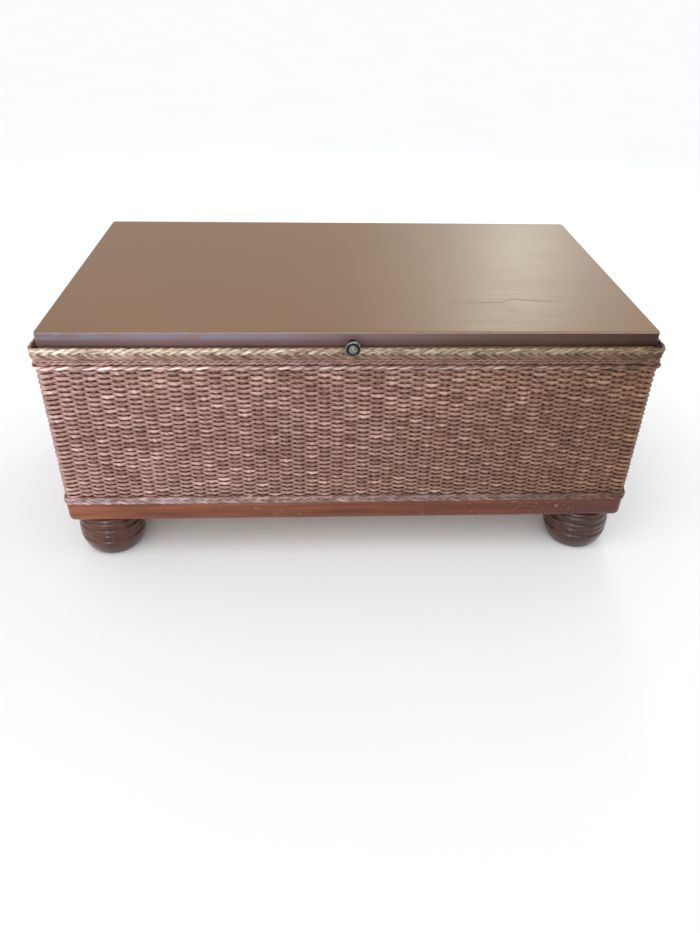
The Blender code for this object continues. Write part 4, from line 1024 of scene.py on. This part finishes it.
def lid_cover():
    edge_r, corner_r, low_r = 0.0040, 0.0080, 0.0022
    tx, ty = LID_X - edge_r, LID_Y - edge_r
    edge = (0.0, 0.0013, 0.0027, 0.0041)
    gx = graded(-tx, tx, 0.16, 0.44, 0.0026, 0.0074, edge)
    gy = graded(-ty, ty, -0.300, -0.145, 0.0026, 0.0074, edge)
    nx, ny = len(gx), len(gy)
    X, Y = np.meshgrid(gx, gy, indexing="ij")
    # plan corners of the top face are quarter rounds
    rr = corner_r - edge_r + 0.0001
    cxs, cys = tx - rr, ty - rr
    a = np.clip((np.abs(X) - cxs) / rr, 0, 1)
    b = np.clip((np.abs(Y) - cys) / rr, 0, 1)
    both = (a > 0) & (b > 0)
    PX = np.where(both, np.sign(X) * (cxs + rr * a * np.sqrt(1 - b * b / 2)), X)
    PY = np.where(both, np.sign(Y) * (cys + rr * b * np.sqrt(1 - a * a / 2)), Y)
    calm = np.clip(np.minimum(tx - np.abs(X), ty - np.abs(Y)) / 0.02, 0, 1)
    calm = calm * calm * (3 - 2 * calm)
    H = 0.00016 * field(X, Y, 0.15, 1) + 0.00002 * field(X, Y, 0.040, 2)
    H += 0.00001 * field(X, Y * 6.0, 0.06, 3)
    H += ridge(X, Y + 0.0, [(0.150, -0.181), (0.200, -0.179), (0.245, -0.1775),
                            (0.275, -0.177), (0.292, -0.166), (0.303, -0.161),
                            (0.325, -0.165), (0.370, -0.173), (0.425, -0.171)],
               0.0026, 0.00095)
    H += ridge(X, Y, [(0.286, -0.205), (0.292, -0.220), (0.301, -0.238)], 0.0024, 0.0008)
    H += ridge(X, Y, [(0.303, -0.257), (0.306, -0.268), (0.310, -0.285)], 0.0024, 0.0008)
    H += ridge(X, Y, [(0.330, -0.238), (0.352, -0.241), (0.380, -0.240)], 0.0030, 0.0004)
    H += ridge(X, Y, [(-0.34, 0.10), (-0.27, 0.115), (-0.20, 0.112)], 0.0040, 0.0003)
    H += ridge(X, Y, [(0.36, 0.13), (0.43, 0.10), (0.47, 0.06)], 0.0040, 0.0003)
    H = np.minimum(H * calm, 0.00055)
    Z = LID_TOP - 0.0006 + H * 1.0
    Z = np.where(calm > 0, Z, LID_TOP - 0.0006)
    top = np.stack([PX, YC + PY, Z], -1).reshape(-1, 3)
    i, j = np.meshgrid(np.arange(nx - 1), np.arange(ny - 1), indexing="ij")
    quads = np.stack([i * ny + j, (i + 1) * ny + j, (i + 1) * ny + j + 1, i * ny + j + 1],
                     -1).reshape(-1, 4)
    # boundary, anticlockwise from above
    ring = ([k * ny for k in range(nx)] + [(nx - 1) * ny + k for k in range(1, ny)]
            + [k * ny + ny - 1 for k in range(nx - 2, -1, -1)]
            + [k for k in range(ny - 2, 0, -1)])
    ring = np.array(ring)
    base = top[ring]
    px, py = base[:, 0], base[:, 1] - YC
    ox = np.clip(np.abs(px) - cxs, 0, None) * np.sign(px)
    oy = np.clip(np.abs(py) - cys, 0, None) * np.sign(py)
    length = np.hypot(ox, oy)
    n = np.stack([ox / length, oy / length], -1)
    n[np.abs(n) < 1e-9] = 0
    # around the ring: arc length for slow changes
    step = np.hypot(*(np.roll(base[:, :2], -1, 0) - base[:, :2]).T)
    s = np.concatenate([[0], np.cumsum(step)[:-1]])
    total = step.sum()
    rng = np.random.default_rng(5)
    slack = wander(s, total, 0.16, rng)
    nip = wander(s, total, 0.045, rng)
    # a folded pleat near each corner, on the two end faces
    end_face = np.abs(n[:, 0]) > 0.99
    from_corner = ty - np.abs(py)
    fold = np.where(end_face, 1.0, 0.0)
    loops = []
    z_top = LID_TOP - 0.0006
    for k in range(1, 7):                      # upper arris
        ang = 0.5 * math.pi * k / 6
        loops.append((edge_r * math.sin(ang), z_top - (edge_r - 0.0004) * (1 - math.cos(ang)), 0.0))
    z_a, z_b = loops[-1][1], LID_LOW + low_r
    for k in range(1, 8):                      # upright edge
        t = k / 7
        loops.append((edge_r, z_a + (z_b - z_a) * t, math.sin(math.pi * t)))
    for k in range(1, 5):                      # lower arris
        ang = 0.5 * math.pi * k / 4
        loops.append((edge_r - low_r * (1 - math.cos(ang)), LID_LOW + low_r * (1 - math.sin(ang)), 0.0))
    verts = [top]
    count = len(top)
    last = ring
    m = len(ring)
    nxt = (np.arange(m) + 1) % m
    for out, z, belly in loops:
        drop = (z_top - z) / (z_top - LID_LOW)
        line = 0.012 + 0.004 * drop
        pleat = fold * np.clip((line - from_corner) / 0.0012, 0, 1) * (0.2 + 0.8 * drop)
        o = out - 0.00012 + belly * (0.00022 * slack + 0.00012 * nip) + 0.00040 * pleat
        o = np.where(o > edge_r + 0.0003, edge_r + 0.0003, o)
        p = np.stack([base[:, 0] + n[:, 0] * o, base[:, 1] + n[:, 1] * o,
                      np.full(m, z)], -1)
        verts.append(p)
        new = count + np.arange(m)
        quads = np.concatenate([quads, np.stack([last[nxt], last, new, new[nxt]], -1)])
        last = new
        count += m
    rim = verts[-1]
    for d in (0.003, 0.008, 0.014, 0.020, 0.026):   # turned under the board
        lim_x, lim_y = LID_X - d - low_r, LID_Y - d - low_r
        lim_y += 0.004 * d / 0.026 * 0
        wob = 0.0012 * nip * d / 0.026
        p = np.stack([np.clip(rim[:, 0], -lim_x, lim_x) + n[:, 0] * wob,
                      YC + np.clip(rim[:, 1] - YC, -lim_y, lim_y) + n[:, 1] * wob,
                      np.full(m, LID_LOW) + 0.0002], -1)
        verts.append(p)
        new = count + np.arange(m)
        quads = np.concatenate([quads, np.stack([last[nxt], last, new, new[nxt]], -1)])
        last = new
        count += m
    verts = np.concatenate(verts)
    obj = make("lid_leatherette", verts, quads, LEATHER, body="lid")
    mesh = obj.data
    bm = bmesh.new()
    bm.from_mesh(mesh)
    bmesh.ops.remove_doubles(bm, verts=bm.verts, dist=0.00002)
    bmesh.ops.dissolve_degenerate(bm, edges=bm.edges, dist=0.00001)
    bm.to_mesh(mesh)
    bm.free()
    mesh.shade_smooth()
    shell = obj.modifiers.new("thickness", "SOLIDIFY")
    shell.thickness = 0.0009
    shell.offset = -1.0
    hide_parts("lid_cover")
    return obj


lid_cover()


def lid_lining():
    """Cloth stapled under the lid: a thin closed sheet with slight waves."""
    lo, hi = LINING_LO, LINING_HI
    nx, ny = 150, 96
    gx = np.linspace(lo.x, hi.x, nx)
    gy = np.linspace(lo.y, hi.y, ny)
    X, Y = np.meshgrid(gx, gy, indexing="ij")
    inset = np.minimum(np.minimum(X - lo.x, hi.x - X), np.minimum(Y - lo.y, hi.y - Y))
    # the border is pulled up at each staple and puckers between them
    pucker = np.exp(-inset / 0.018)
    H = 0.00013 * field(X, Y, 0.09, 11) + 0.00007 * field(X, Y, 0.03, 12)
    H += 0.00010 * pucker * (np.sin(X / 0.045 * 2 * math.pi) * (inset == inset)
                             + np.sin(Y / 0.045 * 2 * math.pi)) * 0.5
    low = lo.z + 0.00028 + H
    under = np.stack([X, Y, low], -1).reshape(-1, 3)
    over = np.stack([X, Y, np.minimum(low + 0.00045, hi.z)], -1).reshape(-1, 3)
    i, j = np.meshgrid(np.arange(nx - 1), np.arange(ny - 1), indexing="ij")
    q = np.stack([i * ny + j, i * ny + j + 1, (i + 1) * ny + j + 1, (i + 1) * ny + j], -1)
    q = q.reshape(-1, 4)
    top = q[:, ::-1] + nx * ny
    ring = ([k * ny for k in range(nx)] + [(nx - 1) * ny + k for k in range(1, ny)]
            + [k * ny + ny - 1 for k in range(nx - 2, -1, -1)]
            + [k for k in range(ny - 2, 0, -1)])
    ring = np.array(ring)
    nxt = np.roll(ring, -1)
    walls = np.stack([ring, nxt, nxt + nx * ny, ring + nx * ny], -1)
    obj = make("lid_dust_cloth", np.concatenate([under, over]),
               np.concatenate([q, top, walls]), LINING, body="lid")
    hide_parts("lid_lining")
    return obj


lid_lining()


def rod(points, radius, m=8):
    """A capped round wire along a list of points."""
    points = [Vector(p) for p in points]
    verts, quads, tris = [], [], []
    side = None
    for k, p in enumerate(points):
        a = points[max(0, k - 1)]
        b = points[min(len(points) - 1, k + 1)]
        d = (b - a).normalized()
        if side is None:
            side = d.orthogonal().normalized()
        side = (side - d * side.dot(d)).normalized()
        up = d.cross(side)
        for i in range(m):
            ang = 2 * math.pi * i / m
            verts.append(p + (side * math.cos(ang) + up * math.sin(ang)) * radius)
    for k in range(len(points) - 1):
        for i in range(m):
            n = (i + 1) % m
            quads.append((k * m + i, k * m + n, (k + 1) * m + n, (k + 1) * m + i))
    e = (len(points) - 1) * m
    for i in range(1, m - 1):
        tris.append((0, i + 1, i))
        tris.append((e, e + i, e + i + 1))
    return np.array([tuple(v) for v in verts]), np.array(quads), np.array(tris), {}


def staples():
    rng = np.random.default_rng(31)
    lo, hi = LINING_LO, LINING_HI
    spots = []
    inset = 0.0065
    for k in range(20):
        x = lo.x + 0.024 + (hi.x - lo.x - 0.048) * k / 19
        spots.append((x, lo.y + inset, 0))
        spots.append((x, hi.y - inset, 0))
    for k in range(12):
        y = lo.y + 0.03 + (hi.y - lo.y - 0.06) * k / 11
        spots.append((lo.x + inset, y, 1))
        spots.append((hi.x - inset, y, 1))
    parts = []
    for x, y, way in spots:
        ang = way * math.pi / 2 + rng.uniform(-0.16, 0.16)
        x += rng.uniform(-0.004, 0.004) * (1 - way)
        y += rng.uniform(-0.004, 0.004) * way
        c, d = math.cos(ang), math.sin(ang)
        z = lo.z - 0.00008
        line = []
        for t, lift in ((-0.0050, 0.0007), (-0.0048, 0.00025), (-0.0043, 0.0), (0.0, 0.0),
                        (0.0043, 0.0), (0.0048, 0.00025), (0.0050, 0.0007)):
            line.append((x + c * t, y + d * t, z + lift))
        parts.append(rod(line, 0.00036, 6))
    v, q, t, _ = merged(parts)
    return make("lining_staples", v, q, STAPLE, t, body="lid")


staples()


# ---------------------------------------------------------------- turned parts
def turned(name, profile, at, axis, mat, segments, node, body, wobble=0.0):
    """A smooth turned piece with a UV map that unrolls it."""
    turn = Vector((0, 0, 1)).rotation_difference(Vector(axis)).to_matrix()
    prof = np.array(profile)
    lens = np.concatenate([[0], np.cumsum(np.hypot(*np.diff(prof, axis=0).T))])
    lens /= lens[-1]
    ang = 2 * math.pi * np.arange(segments) / segments
    n = len(prof)
    local = np.empty((n, segments, 3))
    local[..., 0] = prof[:, None, 0] * np.cos(ang)
    local[..., 1] = prof[:, None, 0] * np.sin(ang)
    local[..., 2] = prof[:, None, 1]
    verts = local.reshape(-1, 3) @ np.array(turn).T + np.array(at)
    i, j = np.arange(n - 1)[:, None], np.arange(segments)[None, :]
    nj = (j + 1) % segments
    quads = np.stack([i * segments + j, i * segments + nj, (i + 1) * segments + nj,
                      (i + 1) * segments + j], -1).reshape(-1, 4)
    uv = np.empty((n - 1, segments, 4, 2))
    for c, (di, dj) in enumerate(((0, 0), (0, 1), (1, 1), (1, 0))):
        uv[..., c, 0] = 0.01 + 0.98 * (j + dj) / segments
        uv[..., c, 1] = 0.01 + 0.98 * lens[i + di]
    obj = make(name, verts, quads, mat, uvs={"OFBake": uv.reshape(-1, 2)}, body=body)
    bm = bmesh.new()
    bm.from_mesh(obj.data)
    bmesh.ops.remove_doubles(bm, verts=bm.verts, dist=1e-6)
    bmesh.ops.recalc_face_normals(bm, faces=bm.faces)
    bm.to_mesh(obj.data)
    bm.free()
    obj.data.shade_smooth()
    obj.data.set_sharp_from_angle(angle=math.radians(52))
    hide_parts(node)
    return obj


def curve_through(points, per):
    """Catmull-Rom through (radius, along) points."""
    pts = np.array([points[0]] + list(points) + [points[-1]], float)
    out = []
    for k in range(1, len(pts) - 2):
        p0, p1, p2, p3 = pts[k - 1:k + 3]
        for t in np.arange(per) / per:
            out.append(tuple(0.5 * ((2 * p1) + (p2 - p0) * t + (2 * p0 - 5 * p1 + 4 * p2 - p3)
                                    * t * t + (3 * p1 - p0 - 3 * p2 + p3) * t ** 3)))
    out.append(tuple(pts[-2]))
    return [(max(1e-5, r), z) for r, z in out]


def foot_profile():
    """A deep bowl, three rolls and a collar, parted by soft turned grooves."""
    shape = [(0.0482, 0.0013), (0.0513, 0.0050), (0.0549, 0.0110), (0.0583, 0.0185),
             (0.0608, 0.0260), (0.0623, 0.0340), (0.0629, 0.0420), (0.0628, 0.0500),
             (0.0623, 0.0600), (0.0614, 0.0720), (0.0600, 0.0820), (0.0590, 0.0868),
             (0.0560, 0.0904), (0.0492, 0.0920)]
    grooves = ((0.0400, 0.0024, 0.0024), (0.0550, 0.0010, 0.0019),
               (0.0662, 0.0026, 0.0024), (0.0812, 0.0020, 0.0021))
    points = [(1e-5, 0.0), (0.0440, 0.0), (0.0462, 0.0002), (0.0474, 0.0006)]
    for r, z in curve_through(shape, 16):
        for at, deep, wide in grooves:
            r -= deep * math.exp(-((z - at) / wide) ** 2)
        points.append((r, z))
    points += [(0.0300, 0.0921), (0.0060, 0.0921), (0.0047, 0.0914)]
    return points


for end in ("front", "back"):
    for side in ("left", "right"):
        tag = end + "_" + side
        lo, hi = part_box("foot_" + tag)
        turned("bun_foot_" + tag, foot_profile(),
               ((lo.x + hi.x) / 2, (lo.y + hi.y) / 2, lo.z), (0, 0, 1), STAINED_FOOT, 88,
               "foot_" + tag, "case")


knob_shape = ([(1e-5, 0.0), (0.0064, 0.0), (0.0068, 0.0004), (0.0068, 0.0013)]
              + curve_through([(0.0066, 0.0017), (0.0059, 0.0040), (0.0053, 0.0085),
                               (0.0058, 0.0140), (0.0084, 0.0180), (0.0117, 0.0203)], 5)
              + curve_through([(0.0126, 0.0210), (0.0131, 0.0222), (0.0131, 0.0238),
                               (0.0124, 0.0252), (0.0114, 0.0257), (0.0106, 0.0251),
                               (0.0101, 0.0246), (0.0096, 0.0250), (0.0090, 0.0262),
                               (0.0078, 0.0281), (0.0052, 0.0300), (0.0024, 0.0308),
                               (0.0000, 0.0310)], 4))
turned("lid_knob", knob_shape, (0, KNOB_HI.y, (KNOB_LO.z + KNOB_HI.z) / 2), (0, -1, 0),
       PEWTER, 64, "knob", "lid")


# ----------------------------------------------------- CAD pieces that are kept
def finish_node(name, mat, bevel=0.0, segments=2, angle=32.0):
    obj = NODES[name]
    obj.data.materials.clear()
    obj.data.materials.append(mat)
    if bevel:
        weld = obj.modifiers.new("weld", "WELD")
        weld.merge_threshold = 0.00001
        soft = obj.modifiers.new("arris", "BEVEL")
        soft.width = bevel
        soft.segments = segments
        soft.limit_method = "ANGLE"
        soft.angle_limit = math.radians(angle)
        soft.use_clamp_overlap = True
        soft.harden_normals = False
    obj.data.shade_smooth()
    obj.data.set_sharp_from_angle(angle=math.radians(34))


for side in ("front", "back"):
    finish_node("plinth_" + side, STAINED["x"], 0.0007)
    finish_node("top_rail_" + side, PINE["x"], 0.0006)
for side in ("left", "right"):
    finish_node("plinth_" + side, STAINED["y"], 0.0007)
    finish_node("top_rail_" + side, PINE["y"], 0.0006)
    finish_node("lid_batten_" + side, PINE["y"], 0.0005)
    finish_node("hinge_case_leaf_" + side, BRASS, 0.00018)
    finish_node("hinge_lid_leaf_" + side, BRASS, 0.00018)
    finish_node("hinge_pin_" + side, BRASS, 0.0002)
    for k in ("_1", "_2"):
        finish_node("hinge_case_screw_" + side + k, BRASS)
        finish_node("hinge_lid_screw_" + side + k, BRASS)
    finish_node("stay_arm_" + side, ZINC, 0.0003)
    finish_node("stay_pivot_" + side, ZINC, 0.0002)
    finish_node("stay_stud_" + side, ZINC, 0.0002)
    for end in ("front", "back"):
        finish_node("corner_post_%s_%s" % (end, side), PINE["z"], 0.0006)
        finish_node("corner_block_%s_%s" % (end, side), PINE["x"], 0.0006)
        finish_node("foot_bolt_%s_%s" % (end, side), ZINC)
finish_node("bottom_panel", PLY, 0.0005)
finish_node("lid_board", PLY, 0.0)
finish_node("knob_screw", ZINC)


# ---------------------------------------------------------- floor, light, camera
def floor():
    g = Graph("floor")
    where = g.place()
    mottle = g.noise(g.scaled(where, (1.5, 1.5, 1.5)), 1.0, 3.0, 0.5)
    colour = g.ramp(mottle, (0.3, (0.875, 0.875, 0.875)), (0.7, (0.890, 0.890, 0.890)))
    g.done(colour, g.remap(mottle, 0.3, 0.7, 0.85, 0.95), Specular_IOR_Level=0.1)
    mesh = bpy.data.meshes.new("floor")
    r = 60.0
    mesh.from_pydata([(-r, -r, 0), (r, -r, 0), (r, r, 0), (-r, r, 0)], [], [(0, 1, 2, 3)])
    mesh.materials.append(g.mat)
    obj = bpy.data.objects.new("floor", mesh)
    bpy.context.scene.collection.objects.link(obj)


floor()

world = bpy.data.worlds.new("studio")
world.use_nodes = True
bpy.context.scene.world = world
back = world.node_tree.nodes["Background"]
back.inputs["Color"].default_value = (0.96, 0.98, 1.0, 1.0)
back.inputs["Strength"].default_value = 0.78


def aim(obj, target):
    away = Vector(obj.location) - Vector(target)
    obj.rotation_euler = away.to_track_quat("Z", "Y").to_euler()


def area(name, at, target, power, size, colour, size_y=None):
    light = bpy.data.lights.new(name, "AREA")
    light.energy = power
    light.color = colour
    light.shape = "RECTANGLE"
    light.size = size
    light.size_y = size_y or size
    obj = bpy.data.objects.new(name, light)
    obj.location = at
    bpy.context.scene.collection.objects.link(obj)
    aim(obj, target)
    return obj


def sun(name, direction, strength, angle, colour):
    light = bpy.data.lights.new(name, "SUN")
    light.energy = strength
    light.angle = math.radians(angle)
    light.color = colour
    obj = bpy.data.objects.new(name, light)
    obj.location = direction
    bpy.context.scene.collection.objects.link(obj)
    aim(obj, (0, 0, 0))
    return obj


sun("soft_key", (-1.4, -3.0, 3.6), 1.5, 70, (1.0, 0.99, 0.98))
area("window", (1.15, 2.75, 1.75), (0.28, -0.1, 0.46), 8, 1.5, (0.97, 1.0, 0.92), 1.1)
area("window_core", (0.99, 2.30, 1.56), (0.285, -0.243, LID_TOP), 7.0, 0.34, (0.88, 1.0, 0.84))

area("front_window", (-0.8, -4.2, 1.15), (0, 0, 0.2), 17, 1.5, (0.76, 0.83, 1.0), 1.0)

area("foot_glint", (-0.88, -2.75, 0.40), (-0.45, -0.3, 0.05), 9.0, 0.25, (0.75, 0.80, 1.0))

EYE = Vector((-0.064316, YC - 1.477114, LID_TOP + 0.522494))
PITCH, YAW, ROLL = math.radians(34.14489), math.radians(3.17904), math.radians(1.30267)
fwd = Vector((math.sin(YAW) * math.cos(PITCH), math.cos(YAW) * math.cos(PITCH),
              -math.sin(PITCH)))
right = Vector((math.cos(YAW), -math.sin(YAW), 0))
up = right.cross(fwd)
right, up = (math.cos(ROLL) * right + math.sin(ROLL) * up,
             -math.sin(ROLL) * right + math.cos(ROLL) * up)
camera = bpy.data.objects.new("camera", bpy.data.cameras.new("camera"))
bpy.context.scene.collection.objects.link(camera)
pose = Matrix.Identity(4)
for k in range(3):
    pose[k][0], pose[k][1], pose[k][2], pose[k][3] = right[k], up[k], -fwd[k], EYE[k]
camera.matrix_world = pose
camera.data.sensor_width = 36
camera.data.lens = 29.253
camera.data.clip_start = 0.02
camera.data.clip_end = 300
bpy.context.scene.camera = camera
bpy.context.scene.view_settings.view_transform = "Standard"
bpy.context.scene.view_settings.look = "None"
